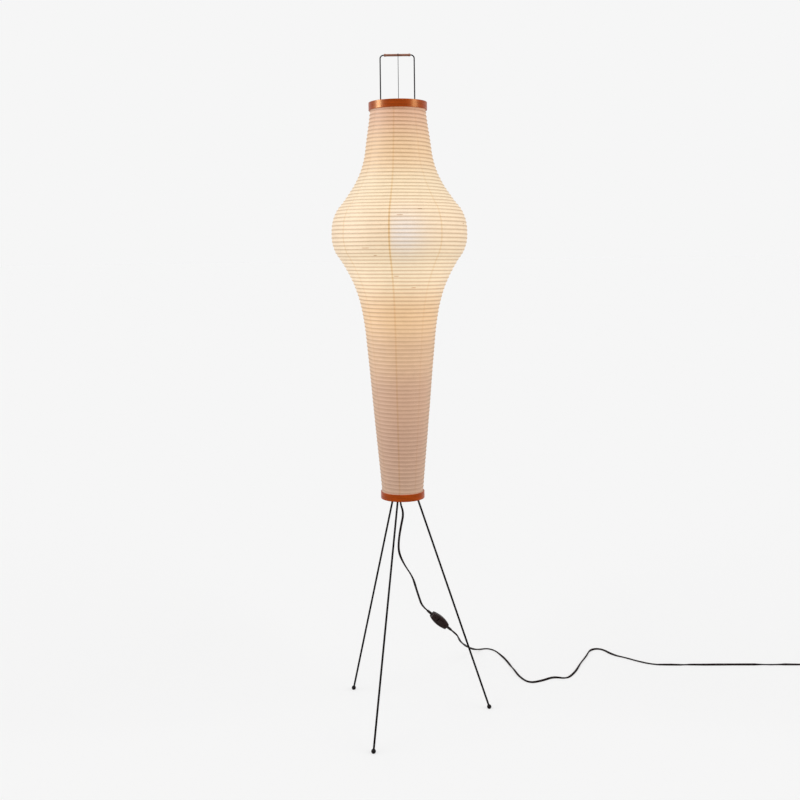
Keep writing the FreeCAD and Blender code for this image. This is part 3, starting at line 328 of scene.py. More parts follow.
@dataclass(frozen=True)
class Lacquer(Finish):
    """Clear orange lacquer over bent wood, with the grain going round."""

    dark_tone: Tone = (70, 24, 6)
    gloss_tone: Tone = (255, 196, 116)
    grain_shade: float = 0.35
    grain_roughness: float = 0.03

    def paint(self, graph: Graph, shader: Node) -> None:
        """Feed the grain into the colour and tint the gloss."""
        around = graph.add("ShaderNodeGroup", {"Place": graph.position()}, node_tree=EFFECTS.around)
        figure = graph.add("ShaderNodeGroup", {
            name: around.outputs[name] for name in ("Angle", "Radius", "Height")}, node_tree=EFFECTS.figure)
        grain = figure.outputs["Tone"]
        shade = graph.times(grain, self.grain_shade)
        colour = graph.mix(shade, linear(self.tone), linear(self.dark_tone))
        rough = graph.line(grain, self.grain_roughness, self.roughness)
        self.connect(graph, shader, colour, rough, grain)
        shader.inputs["Specular Tint"].default_value = linear(self.gloss_tone)


@dataclass(frozen=True)
class Washi(Finish):
    """Handmade paper over a bamboo rib, lit from inside by the bulb."""

    seam_start: float = math.radians(-8.3)
    gore_angle: float = math.radians(45.0)
    seam_width: float = 0.0046
    seam_blur: float = 0.0010
    seam_glow_reach: float = 0.11
    seam_off_front: tuple[float, float, float] = (0.5, 0.2, 0.5)
    seam_least_off_glow: float = 0.4
    seam_relief: float = 1.5
    fibre_levels: tuple[float, float] = (0.93, 0.14)
    glow_heights: tuple[float, float] = (0.6, 1.7)
    glow: tuple[tuple[float, Tone], ...] = (
        (0.600, (108, 82, 66)), (0.750, (116, 83, 64)), (0.900, (133, 99, 75)), (1.020, (160, 129, 94)),
        (1.120, (194, 162, 117)), (1.240, (222, 206, 175)), (1.350, (200, 185, 155)),
        (1.470, (190, 182, 150)), (1.570, (185, 158, 115)), (1.690, (161, 118, 87)))
    # Painted sheen: towards the silhouette the painted glow is blended towards this grey, by this share, from
    # this facing on.
    grazing_sheen_tone: Tone = (152, 146, 130)
    grazing_sheen_share: float = 0.35
    grazing_sheen_slant: float = 0.3
    # The rib mark: partly the bamboo seen through the paper, partly its painted shadow against the glow,
    # fading out low down where the glow is weak and kept towards the silhouette.
    rib_shadow_tint: Tone = (199, 186, 171)
    rib_shadow_fade: tuple[float, float] = (0.97, 1.18)
    rib_shadow_slant: tuple[float, float] = (0.45, 0.80)
    rib_polish: float = -0.15
    # The seam's tint: partly the paste and the double paper, partly painted shade against the glow.
    seam_tint: Tone = (236, 218, 184)
    splice_tint: Tone = (194, 168, 140)
    # Painted highlight: the whiter spot of the bulb's light on the front gore, with its height, reach, angle,
    # width, tone, fall-off and the seam's cut.
    hotspot_height: float = 1.345
    hotspot_reach: float = 0.052
    hotspot_angle: float = math.radians(4.0)
    hotspot_width: float = math.radians(15.0)
    hotspot_tone: Tone = (196, 196, 192)
    hotspot_fall: float = -0.8
    hotspot_cut: tuple[float, float] = (-0.01, 0.05)
    splice_blur: tuple[float, float] = (0.0011, 0.0005)
    splices: tuple[tuple[float, float, float], ...] = (
        (0.5, 1.392, 0.010), (18.0, 1.408, 0.008), (-30.0, 1.306, 0.014), (-22.0, 1.286, 0.006),
        (-4.0, 1.230, 0.008), (17.0, 1.198, 0.008), (70.0, 1.370, 0.010), (118.0, 1.290, 0.009),
        (160.0, 1.330, 0.012), (-150.0, 1.250, 0.010), (-95.0, 1.360, 0.010), (-120.0, 0.940, 0.008))

    def paint(self, graph: Graph, shader: Node) -> None:
        """Feed the paper's own colour, the glow through it painted as emission with a painted hot spot and a
        painted grazing sheen, its rib and seams darkened partly as painted shadow against the glow, and its
        fibres.
        """
        around = graph.add("ShaderNodeGroup", {"Place": graph.position()}, node_tree=EFFECTS.around)
        angle, radius, height = (around.outputs[name] for name in ("Angle", "Radius", "Height"))
        fibres = graph.add("ShaderNodeGroup", {"Angle": angle, "Radius": radius, "Height": height},
                           node_tree=EFFECTS.fibres)
        facing = graph.add("ShaderNodeLayerWeight", {"Blend": 0.5}).outputs["Facing"]
        # painted rib shadow: shown where the glow is strong, above the lower body, and where the paper is
        # seen at a slant
        shown = graph.math("MAXIMUM", graph.ease(height, *self.rib_shadow_fade), graph.ease(facing, *self.rib_shadow_slant))
        marked = graph.add("ShaderNodeAttribute", attribute_name="rib").outputs["Fac"]
        rib = graph.times(marked, shown)
        seam = self._seam(graph, angle, radius, height)
        plain, swing = self.fibre_levels
        level = graph.line(fibres.outputs["Tone"], swing, plain)
        paper_tone_and_shadows = graph.add("ShaderNodeCombineColor", {"Red": level, "Green": level, "Blue": level}).outputs[0]
        splice = self._splice_mask(graph, angle, radius, height)
        # the rib and seam tints darken the paper partly as painted shadow against the glow, in both its own
        # colour and its glow
        for mask, tint in ((rib, self.rib_shadow_tint), (seam, self.seam_tint), (splice, self.splice_tint)):
            paper_tone_and_shadows = graph.mix(mask, paper_tone_and_shadows, linear(tint), "MULTIPLY")
        own = graph.mix(1.0, linear(self.tone), paper_tone_and_shadows, "MULTIPLY")
        # painted highlight: the bulb's hot spot through the front gore, mixed into the glow
        spot = self._bulb_hotspot(graph, angle, height)
        lit = graph.mix(spot, self._ramp(graph, height), linear(self.hotspot_tone))
        # painted grazing sheen: the glow turns greyer where the paper is seen at a slant
        grazing_sheen_mix = graph.times(graph.ease(facing, self.grazing_sheen_slant, 1.0), self.grazing_sheen_share)
        lit = graph.mix(grazing_sheen_mix, lit, linear(self.grazing_sheen_tone))
        graph.link(graph.mix(1.0, lit, paper_tone_and_shadows, "MULTIPLY"), shader.inputs["Emission Color"])
        shader.inputs["Emission Strength"].default_value = 1.0
        relief = graph.line(seam, self.seam_relief, fibres.outputs["Relief"])
        rough = graph.line(rib, self.rib_polish, self.roughness)
        self.connect(graph, shader, own, rough, relief)

    def _ramp(self, graph: Graph, height: Any) -> NodeSocket:
        """The glow at each height."""
        low, high = self.glow_heights
        share = graph.math("DIVIDE", graph.minus(height, low), high - low)
        ramp = graph.add("ShaderNodeValToRGB", {0: share})
        stops = ramp.color_ramp.elements
        for index, (level, tone) in enumerate(self.glow):
            place = (level - low) / (high - low)
            stop = stops[index] if index < 2 else stops.new(place)
            stop.position = place
            stop.color = linear(tone)
        ramp.color_ramp.interpolation = "EASE"
        return ramp.outputs["Color"]

    def _seam(self, graph: Graph, angle: Any, radius: Any, height: Any) -> NodeSocket:
        """The pasted overlap between two gores, its paste and double paper darkened partly as painted shade
        against the glow, plainest in front of the bulb and at the hot spot's height.
        """
        turned = graph.minus(angle, self.seam_start - 4 * math.pi - self.gore_angle / 2)
        inside = graph.math("MODULO", turned, self.gore_angle)
        offset = graph.math("ABSOLUTE", graph.minus(inside, self.gore_angle / 2))
        distance = graph.times(offset, radius)
        half = self.seam_width / 2
        edge = graph.ease(distance, half + self.seam_blur, half - self.seam_blur)
        off_front = graph.math("ABSOLUTE", graph.minus(angle, self.seam_start))
        far, near, aside = self.seam_off_front
        strength = graph.line(graph.ease(off_front, far, near), 1 - aside, aside)
        # painted shade: the seam shows most at the height of the bulb's glow
        lift = graph.math("DIVIDE", graph.minus(height, self.hotspot_height), self.seam_glow_reach)
        belly = graph.math("EXPONENT", graph.times(graph.times(lift, lift), -1.0))
        plain = graph.line(belly, 1 - self.seam_least_off_glow, self.seam_least_off_glow)
        return graph.times(edge, graph.times(strength, plain))

    def _bulb_hotspot(self, graph: Graph, angle: Any, height: Any) -> NodeSocket:
        """A painted highlight: the whiter spot of the bulb's light where the bulb stands behind the front
        gore, cut off by the gore's seam.
        """
        left = graph.ease(angle, *(self.seam_start + cut for cut in self.hotspot_cut))
        across = graph.math("DIVIDE", graph.minus(angle, self.hotspot_angle), self.hotspot_width)
        along = graph.math("DIVIDE", graph.minus(height, self.hotspot_height), self.hotspot_reach)
        squares = graph.line(across, across, graph.times(along, along))
        spot = graph.math("EXPONENT", graph.times(squares, self.hotspot_fall))
        return graph.times(spot, left)

    def _splice_mask(self, graph: Graph, angle: Any, radius: Any, height: Any) -> NodeSocket:
        """Short dark strokes where one length of bamboo is spliced to the next."""
        total: Any = 0.0
        for degrees, level, reach in self.splices:
            turned = graph.minus(angle, math.radians(degrees))
            across = graph.math("ABSOLUTE", graph.times(turned, radius))
            along = graph.math("ABSOLUTE", graph.minus(height, level))
            stroke = graph.times(graph.ease(across, reach, reach / 2),
                                graph.ease(along, *self.splice_blur))
            total = graph.math("MAXIMUM", stroke, total)
        return total


@dataclass(frozen=True)
class Glowing(Finish):
    """White glass that is lit from inside."""

    strength: float = 1.0

    def paint(self, graph: Graph, shader: Node) -> None:
        """Add the light to the glass's own colour."""
        super().paint(graph, shader)
        shader.inputs["Emission Color"].default_value = linear(self.tone)
        shader.inputs["Emission Strength"].default_value = self.strength


class Looks(Enum):
    """Every finish on the lamp, with the record's slot that it belongs to."""

    BLACK_STEEL = ("black_steel", Finish("black_paint_on_steel", (14, 9, 9), 0.50, grain=1400.0,
                                         specular=0.05))
    ZINC = ("zinc_steel", Finish("bright_zinc", (150, 148, 143), 0.34, metallic=1.0, grain=700.0))
    FOOT = ("foot_plastic", Finish("black_ball_plastic", (14, 9, 9), 0.45, grain=1200.0, specular=0.1))
    HOOP = ("lacquered_wood", Lacquer("orange_lacquer_on_wood", (186, 74, 18), 0.32, relief=0.000002,
                                      specular=0.3))
    GRIP = ("cane_grip", Finish("brown_grip", (156, 106, 86), 0.5, patch=90.0, variety=0.15, specular=0.3))
    PAPER = ("washi_paper", Washi("washi", (188, 158, 136), 0.72, relief=0.00010))
    RIB = ("washi_paper", Finish("split_bamboo", (176, 134, 84), 0.6, patch=90.0, variety=0.3))
    HOLDER = ("holder_plastic", Finish("black_holder_plastic", (34, 30, 29), 0.4))
    CERAMIC = ("holder_ceramic", Finish("white_ceramic", (226, 222, 214), 0.25, variety=0.05))
    BRASS = ("brass", Finish("brass", (196, 156, 84), 0.3, metallic=1.0))
    OPAL = ("bulb_opal", Glowing("opal_glass", (255, 236, 205), 0.2, variety=0.03, strength=1.6))
    CAP = ("bulb_metal", Finish("bulb_cap_metal", (176, 174, 170), 0.32, metallic=1.0))
    FLEX = ("flex_rubber", Finish("dark_brown_flex", (26, 15, 14), 0.55, patch=120.0, specular=0.06))
    RELIEF = ("relief_rubber", Finish("black_relief_rubber", (30, 21, 19), 0.6, specular=0.2))
    SWITCH = ("switch_plastic", Finish("dark_brown_switch", (38, 22, 20), 0.45, grain=1500.0, specular=0.15))
    PLUG = ("plug_plastic", Finish("dark_brown_plug", (34, 22, 20), 0.5, grain=1500.0, specular=0.25))

    @property
    def slot(self) -> str:
        """The record's slot."""
        return self.value[0]

    @property
    def material(self) -> Material:
        """The finish's material."""
        return self.value[1].material()


# ---- meshes

class Workshop:
    """Makes meshes in place and hands them to the frame."""

    weld = 0.000002
    flat_angle = math.radians(1.0)
    sharp_angle = math.radians(32)

    @staticmethod
    def piece(name: str, mesh: Mesh, look: Looks, smooth: bool = True) -> Object:
        """Make an object of a mesh whose place is in its points.

        Args:
            name: The piece's name.
            mesh: Its mesh.
            look: Its finish.
            smooth: Whether its faces are shaded smooth.

        Returns:
            The linked object, at the origin.
        """
        mesh.name = name
        made = bpy.data.objects.new(name, mesh)
        bpy.context.scene.collection.objects.link(made)
        mesh.materials.clear()
        mesh.materials.append(look.material)
        mesh.polygons.foreach_set("use_smooth", [smooth] * len(mesh.polygons))
        return made

    @staticmethod
    def hand_over(made: Object, look: Looks, nodes: tuple[str, ...], body: str = "lamp") -> None:
        """Let a piece ride on its body in place of its CAD nodes."""
        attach(made, body)
        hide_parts(*nodes)
        LOG.info("%s: %d faces for %s", made.name, len(made.data.polygons), ", ".join(nodes))

    @staticmethod
    def dress(name: str, mesh: Mesh, look: Looks, node: str, body: str = "lamp",
              rounding: float = 0.0, segments: int = 2, smooth: bool = True) -> None:
        """Make a piece of a mesh, round its sharp edges and let it stand for its CAD node.

        Args:
            name: The piece's name.
            mesh: Its mesh.
            look: Its finish.
            node: The CAD node that it stands for.
            body: The body that it rides on.
            rounding: Width of the rounding, or 0 for none.
            segments: Faces across the rounding.
            smooth: Whether its faces are shaded smooth.
        """
        made = Workshop.piece(name, mesh, look, smooth)
        if rounding:
            Workshop.bevel(made, rounding, segments)
        Workshop.hand_over(made, look, (node,), body)

    @staticmethod
    def lathe(outline: Outline, segments: int, closed: bool = False) -> Mesh:
        """Turn an outline about the lantern's axis.

        Args:
            outline: Radius and height of each corner, up the outside. A radius of 0 is a pole.
            segments: Faces round the axis.
            closed: Whether the last corner joins the first, as in a hoop.

        Returns:
            The turned mesh, its faces pointing outwards.
        """
        points: list[Spot] = []
        rows: list[list[int]] = []
        for radius, height in outline:
            count = segments if radius > 0 else 1
            rows.append([len(points) + step for step in range(count)])
            for step in range(count):
                turn = FULL_TURN * step / segments
                points.append((radius * math.cos(turn), radius * math.sin(turn), height))
        faces = []
        joints = list(zip(rows, rows[1:])) + ([(rows[-1], rows[0])] if closed else [])
        for low, high in joints:
            for step in range(segments):
                ahead = (step + 1) % segments
                ring = [low[step % len(low)], low[ahead % len(low)],
                        high[ahead % len(high)], high[step % len(high)]]
                faces.append(list(dict.fromkeys(ring)))
        mesh = bpy.data.meshes.new("lathe")
        mesh.from_pydata(points, [], [face for face in faces if len(face) > 2])
        return mesh

    @staticmethod
    def welded(node: str) -> bmesh.types.BMesh:
        """A CAD node's own mesh with its doubled points joined."""
        solid = bmesh.new()
        solid.from_mesh(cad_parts[node].data)
        bmesh.ops.remove_doubles(solid, verts=solid.verts, dist=Workshop.weld)
        return solid

    @staticmethod
    def dress_copy(node: str, look: Looks, rounding: float, body: str = "lamp") -> None:
        """Let a copy of a CAD node, its triangles joined into faces and its edges rounded, stand for it.

        Args:
            node: The CAD node.
            look: Its finish.
            rounding: Width of the rounding, or 0 where the CAD already rounds it.
            body: The body that it rides on.
        """
        name = f"{node}_rounded"
        solid = Workshop.welded(node)
        if rounding:
            bmesh.ops.dissolve_limit(solid, angle_limit=Workshop.flat_angle, verts=solid.verts,
                                     edges=solid.edges)
        mesh = bpy.data.meshes.new(name)
        solid.to_mesh(mesh)
        solid.free()
        made = Workshop.piece(name, mesh, look)
        if rounding:
            Workshop.bevel(made, rounding, 2)
        else:
            mesh.set_sharp_from_angle(angle=Workshop.sharp_angle)
        Workshop.hand_over(made, look, (node,), body)

    @staticmethod
    def islands(node: str) -> list[list[Vector]]:
        """The points of each separate solid of a CAD node, in the order of their middles.

        Args:
            node: The CAD node.

        Returns:
            One list of points for each solid.
        """
        solid = Workshop.welded(node)
        waiting = set(solid.verts)
        groups = []
        while waiting:
            reached = [waiting.pop()]
            found = []
            while reached:
                vertex = reached.pop()
                found.append(vertex.co.copy())
                beside = [edge.other_vert(vertex) for edge in vertex.link_edges]
                fresh = [other for other in beside if other in waiting]
                waiting.difference_update(fresh)
                reached += fresh
            groups.append(found)
        solid.free()
        return sorted(groups, key=lambda points: tuple(round(value, 5) for value in Workshop.middle(points)))

    @staticmethod
    def middle(points: list[Vector]) -> Vector:
        """The middle of the box round some points."""
        corners = [(min(values) + max(values)) / 2 for values in zip(*points)]
        return Vector(corners)

    @staticmethod
    def joined(name: str, meshes: list[Mesh]) -> Mesh:
        """One mesh made of several."""
        solid = bmesh.new()
        for mesh in meshes:
            solid.from_mesh(mesh)
            bpy.data.meshes.remove(mesh)
        whole = bpy.data.meshes.new(name)
        solid.to_mesh(whole)
        solid.free()
        return whole

    @staticmethod
    def standing(start: Vector, up: Vector, across: Vector | None = None) -> Matrix:
        """The matrix that stands a mesh on a spot.

        Args:
            start: Where its origin goes.
            up: Where its Z points.
            across: Where its X points, or None for any.

        Returns:
            The matrix.
        """
        rise = up.normalized()
        if across is None:
            turn = rise.to_track_quat("Z", "Y").to_matrix()
        else:
            run = (across - rise * across.dot(rise)).normalized()
            turn = Matrix((run, rise.cross(run), rise)).transposed()
        return Matrix.Translation(start) @ turn.to_4x4()

    @staticmethod
    def moved(mesh: Mesh, matrix: Matrix) -> Mesh:
        """Move a mesh's own points."""
        mesh.transform(matrix)
        return mesh

    @staticmethod
    def reach(points: list[Vector], origin: Vector, axis: Vector) -> tuple[float, float]:
        """How far points reach along an axis.

        Args:
            points: The points.
            origin: Where the axis starts.
            axis: Its direction, of length 1.

        Returns:
            The least and the greatest distance.
        """
        distances = [(point - origin).dot(axis) for point in points]
        return min(distances), max(distances)

    @staticmethod
    def slotted(shank: float, head: float, crown: float, length: float, height: float) -> Mesh:
        """A screw with a slot across its domed head.

        Args:
            shank: The shank's radius.
            head: The head's radius.
            crown: The radius where the dome starts.
            length: The shank's length, down from the origin.
            height: The head's height, up from the origin.

        Returns:
            The screw, its axis on Z.
        """
        point, rim, slot_width = 0.0006, height * 0.3, head * 0.24
        screw = Workshop.lathe([(0.0, -length), (shank * 0.6, -length), (shank, point - length), (shank, 0.0),
                                (head, 0.0), (head, rim), (crown, height), (0.0, height)], 24)
        solid = bpy.data.objects.new("screw", screw)
        box = bmesh.new()
        sides = Matrix.Diagonal((head * 3, slot_width, height, 1))
        bmesh.ops.create_cube(box, size=1.0, matrix=Matrix.Translation((0, 0, height)) @ sides)
        groove = bpy.data.meshes.new("groove")
        box.to_mesh(groove)
        box.free()
        cutter = bpy.data.objects.new("groove", groove)
        for made in (solid, cutter):
            bpy.context.scene.collection.objects.link(made)
        cut = solid.modifiers.new("slot", "BOOLEAN")
        cut.object = cutter
        mesh = bpy.data.meshes.new_from_object(solid.evaluated_get(bpy.context.evaluated_depsgraph_get()))
        for made, data in ((solid, screw), (cutter, groove)):
            bpy.data.objects.remove(made)
            bpy.data.meshes.remove(data)
        return mesh

    @staticmethod
    def thread(inner: float, outer: float, low: float, high: float, pitch: float) -> Outline:
        """The outline of a rounded thread, as rings one above the other.

        Args:
            inner: The radius at the roots.
            outer: The radius at the crests.
            low: Where it starts.
            high: Where it ends.
            pitch: From one crest to the next.

        Returns:
            The corners, upwards.
        """
        per_turn = 6
        steps = max(round((high - low) / pitch), 1) * per_turn
        middle, swing = (inner + outer) / 2, (outer - inner) / 2
        return [(middle - swing * math.cos(FULL_TURN * step / per_turn), low + (high - low) * step / steps)
                for step in range(steps + 1)]

    @staticmethod
    def loft(sections: list[Spot], corners: int, power: float) -> Mesh:
        """A closed skin over rounded boxes one above the other.

        Args:
            sections: Half width, half depth and height of each.
            corners: Points round each.
            power: How square they are: 2 is an ellipse.

        Returns:
            The mesh, its axis on Z.
        """
        points: list[Spot] = []
        for half_width, half_depth, height in sections:
            for step in range(corners):
                turn = FULL_TURN * step / corners
                across, deep = math.cos(turn), math.sin(turn)
                points.append((math.copysign(abs(across) ** (2 / power), across) * half_width,
                               math.copysign(abs(deep) ** (2 / power), deep) * half_depth, height))
        faces: list[tuple[int, ...]] = [tuple(reversed(range(corners)))]
        for level in range(len(sections) - 1):
            low, high = level * corners, (level + 1) * corners
            for step in range(corners):
                ahead = (step + 1) % corners
                faces.append((low + step, low + ahead, high + ahead, high + step))
        top = (len(sections) - 1) * corners
        faces.append(tuple(range(top, top + corners)))
        mesh = bpy.data.meshes.new("loft")
        mesh.from_pydata(points, [], faces)
        return mesh

    @staticmethod
    def bevel(made: Object, width: float, segments: int = 3) -> None:
        """Round a piece's sharp edges."""
        rounding = made.modifiers.new("rounding", "BEVEL")
        rounding.width = width
        rounding.segments = segments
        rounding.limit_method = "ANGLE"
        rounding.angle_limit = Workshop.sharp_angle
        rounding.harden_normals = True

    @staticmethod
    def wire(points: list[Vector], radius: float, sides: int) -> Mesh:
        """A round wire of even thickness along points, closed at both ends."""
        data = bpy.data.curves.new("wire", "CURVE")
        data.dimensions = "3D"
        spline = data.splines.new("POLY")
        spline.points.add(len(points) - 1)
        for corner, point in zip(spline.points, points):
            corner.co = (*point, 1)
        data.bevel_depth = radius
        data.bevel_resolution = max(sides // 4 - 1, 1)
        data.use_fill_caps = True
        holder = bpy.data.objects.new("wire", data)
        mesh = bpy.data.meshes.new_from_object(holder)
        bpy.data.objects.remove(holder)
        bpy.data.curves.remove(data)
        return mesh

    @staticmethod
    def arc(centre: Vector, first: Vector, second: Vector, start: float, end: float,
            steps: int) -> list[Vector]:
        """Points on an arc.

        Args:
            centre: The arc's centre.
            first: The spoke at angle 0, as long as the radius.
            second: The spoke at a quarter turn.
            start: First angle, in radians.
            end: Last angle.
            steps: Runs between the two.

        Returns:
            The points, both ends among them.
        """
        angles = [start + (end - start) * step / steps for step in range(steps + 1)]
        return [centre + first * math.cos(angle) + second * math.sin(angle) for angle in angles]


# ---- camera, light and floor

@dataclass
class Studio:
    """The camera where the photograph was taken, plain soft light and a pale floor."""

    frame_pixels: float = 800.0
    focal_pixels: float = 1070.0
    axis_column: float = 399.7
    horizon_row: float = 257.0
    camera_distance: float = 2.988
    camera_height: float = 1.281
    roll: float = -0.0130
    suns: tuple[tuple[str, float], ...] = (("key", -64), ("fill", 64))
    sun_height: float = 38
    sun_strength: float = 1.2
    sun_breadth: float = 50
    strips: tuple[tuple[str, float, float, float], ...] = (
        ("left_strip", -80, 0.75, 160.0), ("right_strip", 68, 0.9, 80.0))
    strip_length: float = 1.2
    strip_distance: float = 2.6
    strip_height: float = 2.1
    room_light: float = 0.5
    backdrop_white: float = 0.9216
    floor_half: float = 400.0
    floor_grey: float = 0.3
    floor_glow: float = 0.630

    def build(self) -> None:
        """Set up the camera, the lights, the world and the floor."""
        self._camera()
        self._lights()
        self._world()
        self._floor()
        settings = bpy.context.scene.view_settings
        settings.view_transform = "Standard"
        LOG.info("studio: camera %.2f m away", self.camera_distance)

    def _camera(self) -> None:
        """Place the camera, level apart from its small roll."""
        lens = bpy.data.cameras.new("camera")
        lens.sensor_width = 36.0
        lens.lens = lens.sensor_width * self.focal_pixels / self.frame_pixels
        lens.shift_x = (self.frame_pixels / 2 - self.axis_column) / self.frame_pixels
        lens.shift_y = (self.horizon_row - self.frame_pixels / 2) / self.frame_pixels
        lens.clip_end = 1000.0
        camera = bpy.data.objects.new("camera", lens)
        place = Matrix.Translation((0, -self.camera_distance, self.camera_height))
        upright = Matrix.Rotation(math.radians(90), 4, "X")
        camera.matrix_world = place @ upright @ Matrix.Rotation(self.roll, 4, "Z")
        bpy.context.scene.collection.objects.link(camera)
        bpy.context.scene.camera = camera

    def _lights(self) -> None:
        """Two broad suns for the form and two strips that only gloss shows."""
        for name, azimuth in self.suns:
            light = bpy.data.lights.new(name, "SUN")
            light.energy = self.sun_strength
            light.angle = math.radians(self.sun_breadth)
            lamp = bpy.data.objects.new(name, light)
            lamp.rotation_euler = (math.radians(90 - self.sun_height), 0, math.radians(azimuth))
            lamp.visible_glossy = False
            bpy.context.scene.collection.objects.link(lamp)
        for name, azimuth, width, power in self.strips:
            light = bpy.data.lights.new(name, "AREA")
            light.shape = "RECTANGLE"
            light.size = width
            light.size_y = self.strip_length
            light.energy = power
            strip = bpy.data.objects.new(name, light)
            turn = math.radians(azimuth)
            strip.location = (self.strip_distance * math.sin(turn), -self.strip_distance * math.cos(turn),
                              self.strip_height)
            strip.rotation_euler = (math.radians(90), 0, turn)
            strip.visible_diffuse = False
            bpy.context.scene.collection.objects.link(strip)

    @staticmethod
    def _backdrop_rays(graph: Graph) -> NodeSocket:
        """1 for the rays that see the backdrop: from the camera, off gloss and through glass."""
        rays = graph.add("ShaderNodeLightPath")
        gloss = graph.math("MAXIMUM", rays.outputs["Is Glossy Ray"], rays.outputs["Is Transmission Ray"])
        return graph.math("MAXIMUM", rays.outputs["Is Camera Ray"], gloss)

    def _world(self) -> None:
        """Even light from all round, with the backdrop's white for the camera."""
        world = bpy.data.worlds.new("world")
        bpy.context.scene.world = world
        world.use_nodes = True
        graph = Graph(world.node_tree)
        world.node_tree.nodes.clear()
        shown = self._backdrop_rays(graph)
        lit, seen = (graph.add("ShaderNodeBackground", {"Color": (1, 1, 1, 1), "Strength": strength})
                     for strength in (self.room_light, self.backdrop_white))
        both = graph.add("ShaderNodeMixShader", {0: shown, 1: lit.outputs[0], 2: seen.outputs[0]})
        graph.add("ShaderNodeOutputWorld", {"Surface": both.outputs[0]})

    def _floor(self) -> None:
        """A wide pale floor that the camera sees as white and that keeps soft shadows."""
        half = self.floor_half
        mesh = bpy.data.meshes.new("floor")
        corners = [(-half, -half, 0), (half, -half, 0), (half, half, 0), (-half, half, 0)]
        mesh.from_pydata(corners, [], [(0, 1, 2, 3)])
        floor = bpy.data.objects.new("floor", mesh)
        bpy.context.scene.collection.objects.link(floor)
        made = bpy.data.materials.new("pale_floor")
        made.use_nodes = True
        graph = Graph(made.node_tree)
        shader = made.node_tree.nodes["Principled BSDF"]
        shader.inputs["Base Color"].default_value = (self.floor_grey, self.floor_grey, self.floor_grey, 1)
        shader.inputs["Roughness"].default_value = 1.0
        shader.inputs["Specular IOR Level"].default_value = 0.0
        level = graph.times(self._backdrop_rays(graph), self.floor_glow)
        glow = graph.add("ShaderNodeCombineColor", {"Red": level, "Green": level, "Blue": level})
        graph.link(glow.outputs[0], shader.inputs["Emission Color"])
        shader.inputs["Emission Strength"].default_value = 1.0
        mesh.materials.append(made)


# ---- flex

@dataclass
class Coil:
    """The put-away end of the flex: two layers of turns and a short tail."""

    start: Vector
    approach: Vector
    radius: float = 0.031
    pitch: float = 0.0057
    turns: float = 3.25
    foot: float = 0.0031
    tail: float = 0.012
    points_per_turn: int = 16
    crossing: float = 0.25
    last_step: float = 0.002

    def __post_init__(self) -> None:
        """Work out where the coil's middle lies from where the flex comes in."""
        forward = self.start - self.approach
        forward.z = 0
        self.forward = forward.normalized()
        self.left = UP.cross(self.forward)
        slope = math.atan(self.pitch / (FULL_TURN * self.radius))
        self.first_angle = -math.pi / 2 - slope
        self.middle = self.start - self._spoke(self.first_angle) * self.radius
        self.middle.z = 0

    def _spoke(self, angle: float) -> Vector:
        """The level direction at an angle from the way that the flex comes in."""
        return self.forward * math.cos(angle) + self.left * math.sin(angle)

    def point(self, turn: float) -> Vector:
        """The flex's axis after a number of turns: in over the first half, up a layer, and out again."""
        past_half = turn - self.turns / 2
        offset = abs(past_half)
        eased = offset if offset > self.crossing else (offset ** 2 / self.crossing + self.crossing) / 2
        radius = self.radius - self.pitch * (self.turns / 2 - eased)
        level = self.foot + self.pitch * smooth_step((past_half / self.crossing + 1) / 2)
        return self.middle + self._spoke(self.first_angle + FULL_TURN * turn) * radius + UP * level

    def points(self) -> list[Vector]:
        """All the coil's points, with the straight tail to the plug."""
        count = int(self.turns * self.points_per_turn)
        turns = [self.turns * (index + 1) / count for index in range(count)]
        found = [self.point(turn) for turn in turns]
        heading = (found[-1] - self.point(self.turns - self.last_step)).normalized()
        return found + [found[-1] + heading * self.tail / 2, found[-1] + heading * self.tail]


